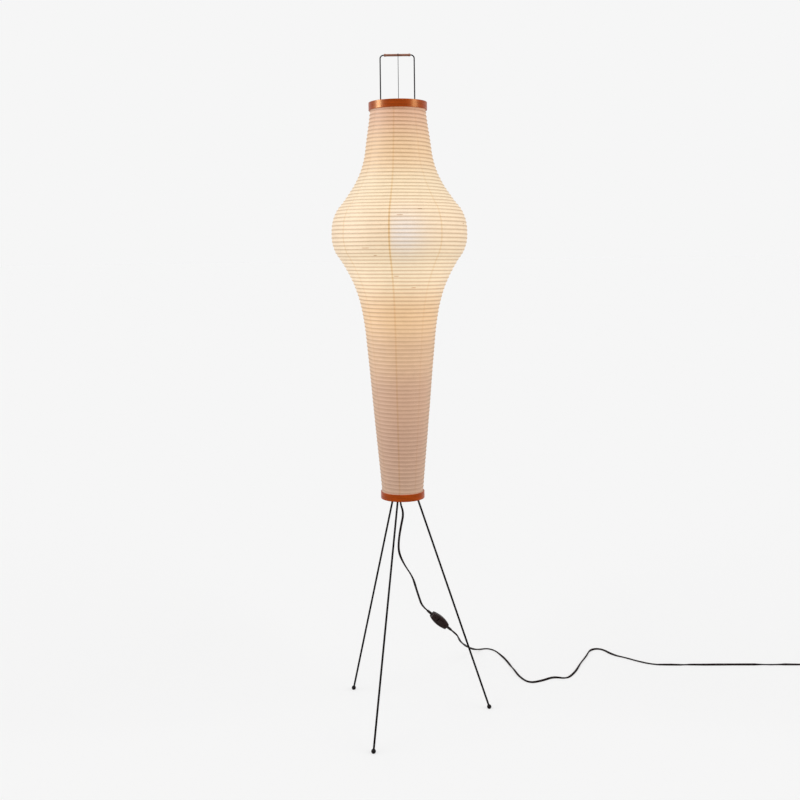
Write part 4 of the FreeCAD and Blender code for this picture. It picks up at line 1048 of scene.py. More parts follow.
@dataclass
class Flex:
    """The flat two-core flex, from the hub to the switch and on to the plug."""

    width: float = 0.0064
    thickness: float = 0.0046
    groove: float = 0.10
    groove_width: float = 0.35
    twists: tuple[Spot, ...] = ((1.2, 15.0, 0.6), (0.7, 37.0, 1.0))
    sides: int = 16
    gland_end: Spot = (0.0, 0.0, 0.655)
    switch_reach: float = 0.051
    run_before: float = 0.022
    run_after: float = 0.026
    upper_route: tuple[Spot, ...] = (
        (0.000, 0.000, 0.633), (-0.009, 0.000, 0.598), (0.002, 0.000, 0.566), (-0.006, 0.000, 0.531),
        (-0.013, 0.000, 0.492), (-0.014, 0.004, 0.455), (0.002, 0.018, 0.416), (0.025, 0.045, 0.374),
        (0.035, 0.086, 0.328), (0.044, 0.122, 0.289))
    lower_route: tuple[Spot, ...] = (
        (0.162, 0.232, 0.133), (0.170, 0.288, 0.102), (0.186, 0.348, 0.069), (0.203, 0.408, 0.039),
        (0.222, 0.459, 0.014), (0.243, 0.490, 0.0025), (0.268, 0.498, 0.0025), (0.291, 0.480, 0.0025),
        (0.308, 0.438, 0.0025), (0.322, 0.384, 0.0025), (0.335, 0.320, 0.0025), (0.348, 0.252, 0.0025),
        (0.372, 0.210, 0.0025), (0.412, 0.226, 0.0025), (0.448, 0.254, 0.0025), (0.488, 0.240, 0.0025),
        (0.520, 0.286, 0.0025), (0.546, 0.354, 0.0025), (0.577, 0.418, 0.0025), (0.600, 0.476, 0.0025),
        (0.638, 0.484, 0.0025), (0.662, 0.426, 0.0025), (0.700, 0.402, 0.0025), (0.732, 0.370, 0.0025),
        (0.765, 0.347, 0.0025), (0.810, 0.338, 0.0025))
    coil_start: Spot = (1.283, 0.3245, 0.0031)
    resting_height: float = 0.0025
    settling: float = 0.010

    def build(self) -> None:
        """Lay both stretches of the flex."""
        out_of_switch = SWITCH_AXIS * self.switch_reach
        upper = [Vector(self.gland_end)] + [Vector(point) for point in self.upper_route]
        upper += [SWITCH_CENTRE - SWITCH_AXIS * (self.switch_reach + self.run_before),
                  SWITCH_CENTRE - out_of_switch]
        lower = [SWITCH_CENTRE + out_of_switch,
                 SWITCH_CENTRE + SWITCH_AXIS * (self.switch_reach + self.run_after)]
        lower += [Vector(point) for point in self.lower_route]
        coil = Coil(Vector(self.coil_start), lower[-1].copy())
        lower += [Vector(self.coil_start)] + coil.points()
        self._lay("flex_to_switch", upper, ("cord_upper",))
        self._lay("flex_to_plug", lower, ("cord_lower", "cord_coil"))

    def _lay(self, name: str, route: list[Vector], nodes: tuple[str, ...]) -> None:
        """Args:
            name: The piece's name.
            route: The control points of its line.
            nodes: The CAD nodes it replaces.
        """
        line = self._read_line(route)
        rings = self._rings(line)
        mesh = self._skin(rings)
        made = Workshop.piece(name, mesh, Looks.FLEX)
        Workshop.hand_over(made, Looks.FLEX, nodes)

    @staticmethod
    def _read_line(route: list[Vector]) -> list[Vector]:
        """The smooth line that has the route's points as its control points."""
        data = bpy.data.curves.new("route", "CURVE")
        data.dimensions = "3D"
        spline = data.splines.new("NURBS")
        spline.points.add(len(route) - 1)
        for corner, point in zip(spline.points, route):
            corner.co = (*point, 1)
        spline.order_u = 3
        spline.use_endpoint_u = True
        spline.resolution_u = 8
        holder = bpy.data.objects.new("route", data)
        mesh = bpy.data.meshes.new_from_object(holder)
        line = [vertex.co.copy() for vertex in mesh.vertices]
        bpy.data.objects.remove(holder)
        bpy.data.curves.remove(data)
        bpy.data.meshes.remove(mesh)
        return line

    def _section(self, turn: float) -> list[tuple[float, float]]:
        """The flat flex's outline, two round cores with a shallow groove between them, turned by an angle."""
        corners = []
        for step in range(self.sides):
            around = FULL_TURN * step / self.sides
            pinch = 1 - self.groove * math.exp(-(math.cos(around) / self.groove_width) ** 2)
            across = self.width / 2 * math.cos(around)
            over = self.thickness / 2 * math.sin(around) * pinch
            corners.append((across * math.cos(turn) - over * math.sin(turn),
                            across * math.sin(turn) + over * math.cos(turn)))
        return corners

    def _rings(self, line: list[Vector]) -> list[list[Vector]]:
        """The flex's sections along its line, slowly twisted and lying on the floor where it is low."""
        rings = []
        side = Vector((1, 0, 0))
        travelled = 0.0
        for index, point in enumerate(line):
            before = line[max(index - 1, 0)]
            after = line[min(index + 1, len(line) - 1)]
            heading = (after - before).normalized()
            side = (side - heading * side.dot(heading)).normalized()
            over = heading.cross(side)
            travelled += (point - before).length
            twist = sum(swing * math.sin(travelled * rate + start) for swing, rate, start in self.twists)
            offsets = [side * across + over * up for across, up in self._section(twist)]
            lowest = min(offset.z for offset in offsets)
            share = min(max((point.z - self.resting_height) / self.settling, 0), 1)
            centre = point + UP * ((1 - share) * (-lowest - self.resting_height))
            rings.append([centre + offset for offset in offsets])
        return rings

    def _skin(self, rings: list[list[Vector]]) -> Mesh:
        """Join the sections into a closed tube."""
        count = self.sides
        faces = [list(reversed(range(count)))]
        for index in range(len(rings) - 1):
            base = index * count
            for step in range(count):
                ahead = (step + 1) % count
                faces.append([base + step, base + ahead, base + count + ahead, base + count + step])
        last = (len(rings) - 1) * count
        faces.append([last + step for step in range(count)])
        mesh = bpy.data.meshes.new("flex")
        mesh.from_pydata([tuple(point) for ring in rings for point in ring], [], faces)
        return mesh


# ---- paper shade

def geometry_tree(name: str, takes: dict[str, str]) -> tuple[Graph, Node, Node]:
    """Start a Geometry Nodes tree.

    Args:
        name: The tree's name.
        takes: Its inputs, as names with their socket types.

    Returns:
        The tree's graph, its input node and its output node.
    """
    tree = bpy.data.node_groups.new(name, "GeometryNodeTree")
    tree.interface.new_socket("Geometry", in_out="INPUT", socket_type="NodeSocketGeometry")
    for label, kind in takes.items():
        tree.interface.new_socket(label, in_out="INPUT", socket_type=kind)
    tree.interface.new_socket("Geometry", in_out="OUTPUT", socket_type="NodeSocketGeometry")
    graph = Graph(tree)
    return graph, graph.add("NodeGroupInput"), graph.add("NodeGroupOutput")


def dressed(graph: Graph, start: Node, end: Node, made: Any) -> NodeTree:
    """End a Geometry Nodes tree: plain mesh with the finish on it.

    Args:
        graph: The tree's graph.
        start: Its input node, with a Finish.
        end: Its output node.
        made: The geometry that the tree has made.

    Returns:
        The tree.
    """
    solid = graph.add("GeometryNodeRealizeInstances", {0: made}).outputs[0]
    finish = graph.add("GeometryNodeSetMaterial", {"Geometry": solid, "Material": start.outputs["Finish"]})
    graph.link(finish.outputs[0], end.inputs["Geometry"])
    return graph.tree


def grown(tree: NodeTree, sizes: dict[str, Any],
          seed: Mesh | None = None) -> Mesh:
    """Run a Geometry Nodes tree and return the plain mesh that it makes.

    Args:
        tree: The tree.
        sizes: Its inputs by name.
        seed: The mesh that goes in, or None for an empty one.

    Returns:
        The mesh, with no modifier left.
    """
    seed = seed or bpy.data.meshes.new("seed")
    holder = bpy.data.objects.new("seed", seed)
    bpy.context.scene.collection.objects.link(holder)
    modifier = holder.modifiers.new("grow", "NODES")
    modifier.node_group = tree
    known = {item.name: item.identifier for item in tree.interface.items_tree if item.in_out == "INPUT"}
    for name, size in sizes.items():
        modifier[known[name]] = size
    evaluated = holder.evaluated_get(bpy.context.evaluated_depsgraph_get())
    mesh = bpy.data.meshes.new_from_object(evaluated)
    bpy.data.objects.remove(holder)
    bpy.data.meshes.remove(seed)
    return mesh


@dataclass
class Shade:
    """The paper body: one bamboo rib that winds down inside, and paper that sags between its turns."""

    stations: tuple[tuple[float, float], ...] = (
        (1.609, 0.0895), (1.542, 0.1005), (1.491, 0.1205), (1.441, 0.1525), (1.402, 0.1795),
        (1.350, 0.1900), (1.302, 0.1825), (1.266, 0.1605), (1.222, 0.1365), (1.172, 0.1175),
        (1.105, 0.1030), (1.021, 0.0935), (0.853, 0.0782))
    neck_radius: float = 0.0789
    foot_radius: float = 0.0579
    neck_height: float = 1.690
    foot_height: float = 0.6295
    collar: float = 0.0117
    turns: float = 102.0
    rows_per_turn: int = 5
    columns: int = 88
    sag: float = 0.0018
    taut: tuple[float, float, float] = (0.85, 1.20, 0.58)
    waver: float = 0.0016
    waver_scale: Spot = (9.0, 9.0, 40.0)
    bunching: float = -0.105
    tight_ends: tuple[float, float] = (0.008, 0.016)
    mark_narrowness: float = 4.5
    weld: float = 0.00008
    paper_thickness: float = 0.0003
    bamboo_radius: float = 0.0007
    bamboo_sides: int = 5
    bamboo_points_per_turn: float = 64.0

    def build(self) -> None:
        """Make the paper and the rib inside it."""
        meridian = self._meridian()
        paper = Workshop.piece("shade_paper", grown(self._paper_tree(), {
            "Meridian": meridian, "Turns": self.turns, "Rows": self.rows_per_turn, "Columns": self.columns,
            "Sag": self.sag, "Waver": self.waver, "Finish": Looks.PAPER.material}), Looks.PAPER)
        wall = paper.modifiers.new("wall", "SOLIDIFY")
        wall.thickness = self.paper_thickness
        wall.offset = -1.0
        Workshop.hand_over(paper, Looks.PAPER, ("paper_shade",))
        rib = Workshop.piece("shade_rib", grown(self._rib_tree(), {
            "Meridian": meridian, "Turns": self.turns, "Radius": self.bamboo_radius,
            "Finish": Looks.RIB.material}), Looks.RIB)
        Workshop.hand_over(rib, Looks.RIB, ("paper_shade",))
        bpy.data.objects.remove(meridian)

    def _meridian(self) -> Object:
        """The shade's side line, from the collar in the top ring to the one in the bottom ring."""
        data = bpy.data.curves.new("meridian", "CURVE")
        data.dimensions = "3D"
        data.resolution_u = 24
        spline = data.splines.new("BEZIER")
        path = [(self.neck_height + self.collar, self.neck_radius), (self.neck_height, self.neck_radius)]
        path += list(self.stations)
        path += [(self.foot_height, self.foot_radius), (self.foot_height - self.collar, self.foot_radius)]
        spline.bezier_points.add(len(path) - 1)
        for knot, (height, radius) in zip(spline.bezier_points, path):
            knot.co = (radius, 0, height)
            knot.handle_left_type = knot.handle_right_type = "AUTO"
        line = bpy.data.objects.new("meridian", data)
        bpy.context.scene.collection.objects.link(line)
        return line

    @staticmethod
    def _line(graph: Graph, start: Node) -> tuple[Any, Any]:
        """The meridian's curve and its length, in a tree."""
        curve = graph.add("GeometryNodeObjectInfo", {"Object": start.outputs["Meridian"]}).outputs["Geometry"]
        return curve, graph.add("GeometryNodeCurveLength", {0: curve}).outputs[0]

    @staticmethod
    def _sampled(graph: Graph, curve: Any, whole: Any, reach: Any) -> tuple[Any, Any]:
        """The meridian at a length from its top.

        Args:
            graph: The tree's graph.
            curve: The meridian's curve.
            whole: Its length.
            reach: The length along it.

        Returns:
            The place and the outward direction.
        """
        kept = graph.math("MINIMUM", graph.math("MAXIMUM", reach, 0.0), whole)
        sample = graph.add("GeometryNodeSampleCurve", {"Curves": curve, "Length": kept}, mode="LENGTH",
                           use_all_curves=True)
        run = graph.add("ShaderNodeSeparateXYZ", {0: sample.outputs["Tangent"]})
        outward = graph.add("ShaderNodeCombineXYZ", {
            "X": graph.times(run.outputs["Z"], -1.0), "Z": run.outputs["X"]}).outputs[0]
        return sample.outputs["Position"], outward

    @staticmethod
    def _swung(graph: Graph, place: Any, outward: Any, offset: Any, angle: Any) -> NodeSocket:
        """A place on the meridian, pushed outward and swung round the axis from the front."""
        push = graph.add("ShaderNodeVectorMath", {0: outward, "Scale": offset}, operation="SCALE").outputs[0]
        moved = graph.add("ShaderNodeVectorMath", {0: place, 1: push}, operation="ADD").outputs[0]
        parts = graph.add("ShaderNodeSeparateXYZ", {0: moved})
        across = graph.times(parts.outputs["X"], graph.math("SINE", angle))
        ahead = graph.times(graph.math("COSINE", angle), -1.0)
        back = graph.times(parts.outputs["X"], ahead)
        return graph.add("ShaderNodeCombineXYZ", {"X": across, "Y": back, "Z": parts.outputs["Z"]}).outputs[0]

    def _wavered(self, graph: Graph, place: Any, loose: Any, amount: Any) -> NodeSocket:
        """A place moved up or down a little, as a rib wound by hand wavers."""
        stretched = graph.add("ShaderNodeVectorMath", {0: place, 1: self.waver_scale}, operation="MULTIPLY")
        noise = graph.noise(stretched.outputs[0], 1.0, detail=1.0)
        freedom = graph.times(amount, loose)
        shift = graph.times(graph.minus(noise, 0.5), freedom)
        rise = graph.add("ShaderNodeCombineXYZ", {"Z": shift}).outputs[0]
        return graph.add("ShaderNodeVectorMath", {0: place, 1: rise}, operation="ADD").outputs[0]

    def _paper_tree(self) -> NodeTree:
        """Geometry Nodes for the paper: a grid wound once per turn, whose rows follow the rib."""
        graph, start, end = geometry_tree("lantern_paper", {
            "Meridian": "NodeSocketObject", "Turns": "NodeSocketFloat", "Rows": "NodeSocketInt",
            "Columns": "NodeSocketInt", "Sag": "NodeSocketFloat", "Waver": "NodeSocketFloat",
            "Finish": "NodeSocketMaterial"})
        turns = graph.plus(start.outputs["Turns"], 1.0)
        tall = graph.line(turns, start.outputs["Rows"], 1.0)
        wide = graph.plus(start.outputs["Columns"], 1.0)
        grid = graph.add("GeometryNodeMeshGrid", {"Size X": 1.0, "Size Y": 1.0, "Vertices X": wide,
                                                  "Vertices Y": tall}).outputs["Mesh"]
        spot = graph.add("ShaderNodeSeparateXYZ", {0: graph.add("GeometryNodeInputPosition").outputs[0]})
        share = graph.plus(spot.outputs["X"], 0.5)
        turn = graph.times(graph.plus(spot.outputs["Y"], 0.5), turns)
        whole_turn = graph.math("FLOOR", graph.plus(turn, 0.001))
        even = graph.minus(turn, whole_turn)
        wave = graph.math("SINE", graph.times(even, FULL_TURN))
        between = graph.line(wave, self.bunching, even)
        wound = graph.plus(whole_turn, between)
        pitches = graph.plus(wound, graph.minus(share, 1.0))
        curve, whole = self._line(graph, start)
        pitch = graph.math("DIVIDE", whole, start.outputs["Turns"])
        reach = graph.times(pitches, pitch)
        place, outward = self._sampled(graph, curve, whole, reach)
        hollow = graph.times(between, graph.minus(1.0, between))
        near_end = graph.math("MINIMUM", reach, graph.minus(whole, reach))
        loose = graph.ease(near_end, *self.tight_ends)
        level = graph.add("ShaderNodeSeparateXYZ", {0: place}).outputs["Z"]
        tightest, loosest, least = self.taut
        slack = graph.line(graph.ease(level, tightest, loosest), 1 - least, least)
        depth = graph.times(graph.times(hollow, -4.0),
                           graph.times(start.outputs["Sag"], slack))
        angle = graph.times(graph.minus(share, 0.5), FULL_TURN)
        moved = self._swung(graph, place, outward, graph.times(depth, loose), angle)
        moved = self._wavered(graph, moved, loose, start.outputs["Waver"])
        nearest = graph.math("MINIMUM", between, graph.minus(1.0, between))
        off_rib = graph.times(nearest, self.mark_narrowness)
        rib = graph.math("MAXIMUM", graph.minus(1.0, off_rib), 0.0)
        marked = graph.add("GeometryNodeStoreNamedAttribute", {
            "Geometry": grid, "Name": "rib", "Value": rib}, data_type="FLOAT", domain="POINT").outputs[0]
        shaped = graph.add("GeometryNodeSetPosition", {"Geometry": marked, "Position": moved}).outputs[0]
        joined = graph.add("GeometryNodeMergeByDistance", {"Geometry": shaped, "Distance": self.weld})
        turned = graph.add("GeometryNodeFlipFaces", {0: joined.outputs[0]}).outputs[0]
        return dressed(graph, start, end, turned)

    def _rib_tree(self) -> NodeTree:
        """Geometry Nodes for the bamboo rib: one wound curve with a small section."""
        graph, start, end = geometry_tree("bamboo_rib", {
            "Meridian": "NodeSocketObject", "Turns": "NodeSocketFloat", "Radius": "NodeSocketFloat",
            "Finish": "NodeSocketMaterial"})
        count = graph.times(start.outputs["Turns"], self.bamboo_points_per_turn)
        line = graph.add("GeometryNodeCurvePrimitiveLine", {"Start": (0, 0, 0), "End": (0, 0, 1)}).outputs[0]
        many = graph.add("GeometryNodeResampleCurve", {"Curve": line, "Count": count}, mode="COUNT")
        along = graph.add("GeometryNodeSplineParameter").outputs["Factor"]
        curve, whole = self._line(graph, start)
        place, outward = self._sampled(graph, curve, whole, graph.times(along, whole))
        turned = graph.minus(graph.times(along, start.outputs["Turns"]), 0.5)
        angle = graph.times(turned, FULL_TURN)
        inset = graph.line(start.outputs["Radius"], -1.0, -self.paper_thickness)
        moved = self._swung(graph, place, outward, inset, angle)
        wound = graph.add("GeometryNodeSetPosition", {"Geometry": many.outputs[0], "Position": moved})
        ring = graph.add("GeometryNodeCurvePrimitiveCircle",
                         {"Resolution": self.bamboo_sides, "Radius": start.outputs["Radius"]}, mode="RADIUS")
        tube = graph.add("GeometryNodeCurveToMesh", {"Curve": wound.outputs[0],
                                                     "Profile Curve": ring.outputs[0], "Fill Caps": True})
        return dressed(graph, start, end, tube.outputs[0])


# ---- hoops, bow and legs

@dataclass
class Hoops:
    """The two lacquered hoops, with the paper's rebate on the inside."""

    wall: float = 0.0060
    lip: float = 0.0026
    rebate: float = 0.0120
    rounding: float = 0.0009
    segments: int = 192

    def build(self) -> None:
        """Turn both hoops."""
        self._hoop("top_hoop", "top_ring", rebate_at_top=False)
        self._hoop("bottom_hoop", "bottom_ring", rebate_at_top=True)

    def _hoop(self, name: str, node: str, rebate_at_top: bool) -> None:
        """Turn one hoop in the place of its CAD node."""
        low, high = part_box(node)
        outer, foot, top = high[0], low[2], high[2]
        inner, lip = outer - self.wall, outer - self.lip
        if rebate_at_top:
            step = top - self.rebate
            outline = [(inner, foot), (outer, foot), (outer, top), (lip, top), (lip, step), (inner, step)]
        else:
            step = foot + self.rebate
            outline = [(lip, foot), (outer, foot), (outer, top), (inner, top), (inner, step), (lip, step)]
        hoop = Workshop.lathe(outline, self.segments, closed=True)
        Workshop.dress(name, hoop, Looks.HOOP, node, rounding=self.rounding, segments=3)


@dataclass
class Bow:
    """The wire bow with its grip, and the thin wire that the shade hangs from."""

    wire: float = 0.00175
    wire_sides: int = 20
    corner: float = 0.0095
    corner_steps: int = 12
    half_width: float = 0.0476
    bar_height: float = 1.84475
    grip_radius: float = 0.0034
    grip_play: float = 0.00015
    grip_gap: float = 0.0010
    grip_segments: int = 40
    collar_radius: float = 0.0040
    collar_length: float = 0.0060
    collar_fullness: float = 0.7
    collar_steps: int = 12
    hanger: float = 0.0008
    hanger_sides: int = 12
    hook_gap: float = 0.00025
    hook_tip: float = 0.0040
    hook_steps: tuple[int, int] = (16, 12)
    crossbar: float = 0.0015

    def build(self) -> None:
        """Bend both wires and turn the grip."""
        self._bow()
        self._grip()
        self._hanger()

    def _bow(self) -> None:
        """The black bow, square at the top."""
        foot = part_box("bow")[0][2]
        across = Vector((self.corner, 0, 0))
        level = self.bar_height - self.corner
        points = [Vector((-self.half_width, 0, foot))]
        for side, start in ((-1, 0), (1, math.pi / 2)):
            centre = Vector((side * (self.half_width - self.corner), 0, level))
            points += Workshop.arc(centre, across * side, UP * self.corner, start, math.pi / 2 - start,
                                   self.corner_steps)
        points.append(Vector((self.half_width, 0, foot)))
        bent = Workshop.wire(points, self.wire, self.wire_sides)
        Workshop.dress("bow_wire", bent, Looks.BLACK_STEEL, "bow")

    def _grip(self) -> None:
        """The brown sleeve on the bar, rolled at both ends."""
        half = self.half_width - self.corner - self.grip_gap
        swell = self.collar_radius - self.grip_radius
        upper = [(self.wire + self.grip_play, half), (self.grip_radius, half)]
        for step in range(self.collar_steps + 1):
            share = step / self.collar_steps
            rise = math.sin(math.pi * share) ** self.collar_fullness
            upper.append((self.grip_radius + swell * rise, half - self.collar_length * share))
        lower = [(radius, -height) for radius, height in upper]
        sleeve = Workshop.lathe(lower + upper[::-1], self.grip_segments, closed=True)
        lain = Matrix.Translation((0, 0, self.bar_height)) @ Matrix.Rotation(math.radians(90), 4, "Y")
        Workshop.dress("bow_sleeve", Workshop.moved(sleeve, lain), Looks.GRIP, "bow_grip")

    def _hanger(self) -> None:
        """The thin wire, hooked over the grip and under the crossbar."""
        over = self.grip_radius + self.hook_gap + self.hanger
        under = self.crossbar + self.hook_gap + self.hanger
        low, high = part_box("top_crossbar")
        crossbar_height = (low[2] + high[2]) / 2
        points = [Vector((under, -over, self.bar_height)) + DOWN * self.hook_tip]
        above, below = self.hook_steps
        for centre, first, second, steps in (
                (Vector((under, 0, self.bar_height)), Vector((0, -over, 0)), UP * over, above),
                (Vector((0, over, crossbar_height)), Vector((under, 0, 0)), DOWN * under, below)):
            points += Workshop.arc(centre, first, second, 0, math.pi, steps)
        points.append(points[-1] + UP * self.hook_tip)
        bent = Workshop.wire(points, self.hanger, self.hanger_sides)
        Workshop.dress("hanger", bent, Looks.BLACK_STEEL, "hanger_wire")


def pattern_tree() -> NodeTree:
    """Geometry Nodes that repeat what comes in round the axis, each time turned by one more angle.

    Returns:
        The tree.
    """
    graph, start, end = geometry_tree("pattern", {"Count": "NodeSocketInt", "Turn": "NodeSocketFloat",
                                                  "Finish": "NodeSocketMaterial"})
    line = graph.add("GeometryNodeMeshLine", {"Count": start.outputs["Count"], "Offset": (0, 0, 0)})
    number = graph.add("GeometryNodeInputIndex").outputs[0]
    turn = graph.add("ShaderNodeCombineXYZ", {"Z": graph.times(number, start.outputs["Turn"])})
    rotation = graph.add("FunctionNodeEulerToRotation", {0: turn.outputs[0]})
    copies = graph.add("GeometryNodeInstanceOnPoints", {
        "Points": line.outputs[0], "Instance": start.outputs["Geometry"], "Rotation": rotation.outputs[0]})
    return dressed(graph, start, end, copies.outputs[0])


def repeated(seed: Mesh, count: int, look: Looks) -> Mesh:
    """A mesh several times over, evenly round the Z axis.

    Args:
        seed: The mesh.
        count: How many of it.
        look: The finish.

    Returns:
        One mesh with all of them.
    """
    tree = bpy.data.node_groups.get("pattern") or pattern_tree()
    return grown(tree, {"Count": count, "Turn": FULL_TURN / count, "Finish": look.material}, seed)


@dataclass
class Tripod:
    """Three rods that lean together into the hub, each on a ball."""

    foot_circle: float = 0.240
    apex: float = 0.731
    rod_radius: float = 0.00275
    rod_sides: int = 28
    rod_rounding: float = 0.0003
    rod_top_play: float = 0.0008
    ball_radius: float = 0.00625
    ball_flat: float = 0.0005
    ball_segments: int = 40
    ball_steps: int = 20

    def build(self) -> None:
        """Make the rods and the ball feet."""
        top = Vector((0, 0, self.apex))
        feet = []
        for index, node in enumerate(("leg_front", "leg_right", "leg_rear")):
            angle = FIRST_LEG + index * THIRD_TURN
            foot = Vector((self.foot_circle * math.sin(angle), -self.foot_circle * math.cos(angle),
                           self.ball_radius - self.ball_flat))
            feet.append(foot)
            direction = (top - foot).normalized()
            rod_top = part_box(node)[1][2] - self.rod_top_play
            rod = self._rod(foot, direction, (rod_top - foot.z) / direction.z)
            Workshop.dress(f"{node}_rod", rod, Looks.BLACK_STEEL, node, rounding=self.rod_rounding)
        Workshop.dress("ball_feet_turned", self._balls(feet[0]), Looks.FOOT, "ball_feet")

    def _balls(self, foot: Vector) -> Mesh:
        """The three balls, each pressed flat where it stands."""
        low = math.acos(foot.z / self.ball_radius)
        profile = [(0.0, -foot.z)]
        for step in range(self.ball_steps):
            angle = low + (math.pi - low) * step / self.ball_steps
            profile.append((self.ball_radius * math.sin(angle), -self.ball_radius * math.cos(angle)))
        profile.append((0.0, self.ball_radius))
        ball = Workshop.moved(Workshop.lathe(profile, self.ball_segments), Matrix.Translation(foot))
        return repeated(ball, 3, Looks.FOOT)

    def _rod(self, foot: Vector, direction: Vector, reach: float) -> Mesh:
        """One rod from inside its ball up into the hub."""
        outline = [(0.0, 0.0), (self.rod_radius, 0.0), (self.rod_radius, reach), (0.0, reach)]
        return Workshop.moved(Workshop.lathe(outline, self.rod_sides), Workshop.standing(foot, direction))


# ---- hub, lampholder and bulb

@dataclass
class Ironwork:
    """The hub, the column, the saddle, the clips and their screws."""

    column_bore: float = 0.0040
    column_sides: int = 32
    thread_depth: float = 0.0005
    thread_pitch: float = 0.0014
    thread_start: float = 0.0008
    thread_runout: float = 0.001
    upper_thread: float = 0.028
    lower_thread: float = 0.014
    screw_shank: float = 0.0013
    screw_head: float = 0.0025
    screw_crown: float = 0.0017
    screw_head_height: float = 0.0016
    grub_radius: float = 0.0020
    grub_slot: float = 0.3
    same_direction: float = 0.99
    roundings: tuple[tuple[str, Looks, float], ...] = (
        ("leg_hub", Looks.BLACK_STEEL, 0.0009), ("saddle_bar", Looks.BLACK_STEEL, 0.0007),
        ("stem_nuts", Looks.ZINC, 0.0006), ("bow_nuts", Looks.ZINC, 0.0003),
        ("ring_clips", Looks.BLACK_STEEL, 0.0005), ("top_crossbar", Looks.BLACK_STEEL, 0.0004),
        ("inner_lead", Looks.RELIEF, 0.0003))

    def build(self) -> None:
        """Copy and round what is turned, bent or hexagonal, and make the column and the screws."""
        for node, look, rounding in self.roundings:
            Workshop.dress_copy(node, look, rounding)
        self._column()
        self._clip_screws()
        self._grub_screws()

    def _column(self) -> None:
        """The tube, threaded at both ends."""
        low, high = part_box("stem_tube")
        outer, foot, top = high[0], low[2], high[2]
        root = outer - self.thread_depth
        lower_end, upper_end = foot + self.lower_thread, top - self.upper_thread
        lower = Workshop.thread(root, outer, foot + self.thread_start, lower_end, self.thread_pitch)
        upper = Workshop.thread(root, outer, upper_end, top - self.thread_start, self.thread_pitch)
        outline = [(self.column_bore, foot), (root, foot), *lower, (outer, lower_end + self.thread_runout),
                   (outer, upper_end - self.thread_runout), *upper, (root, top), (self.column_bore, top)]
        column = Workshop.lathe(outline, self.column_sides, closed=True)
        Workshop.dress("threaded_column", column, Looks.ZINC, "stem_tube")

    def _clip_screws(self) -> None:
        """The three slotted screws that go from the clips into the wood."""
        outward = Vector((math.sin(FIRST_LEG), -math.cos(FIRST_LEG), 0))
        low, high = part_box("clip_screws")
        middle = Vector((0, 0, (low[2] + high[2]) / 2))
        first = next(points for points in Workshop.islands("clip_screws")
                     if (Workshop.middle(points) - middle).normalized().dot(outward) > self.same_direction)
        inner, outer = Workshop.reach(first, middle, outward)
        seat = inner + self.screw_head_height
        screw = Workshop.slotted(self.screw_shank, self.screw_head, self.screw_crown, outer - seat,
                                 self.screw_head_height)
        placed = Workshop.moved(screw, Workshop.standing(middle + outward * seat, -outward, UP))
        Workshop.dress("slotted_clip_screws", repeated(placed, 3, Looks.ZINC), Looks.ZINC, "clip_screws",
                       smooth=False)

    def _grub_screws(self) -> None:
        """The three slotted grub screws in the hub."""
        points = Workshop.islands("hub_grub_screws")[-1]
        middle = Workshop.middle(points)
        outward = Vector((middle.x, middle.y, 0)).normalized()
        near, far = Workshop.reach(points, middle, outward)
        shank, head = (far - near) * (1 - self.grub_slot), (far - near) * self.grub_slot
        screw = Workshop.slotted(self.grub_radius * 0.9, self.grub_radius, self.grub_radius, shank, head)
        placed = Workshop.moved(screw, Workshop.standing(middle + outward * (near + shank), outward))
        Workshop.dress("slotted_grub_screws", repeated(placed, 3, Looks.ZINC), Looks.ZINC, "hub_grub_screws",
                       smooth=False)


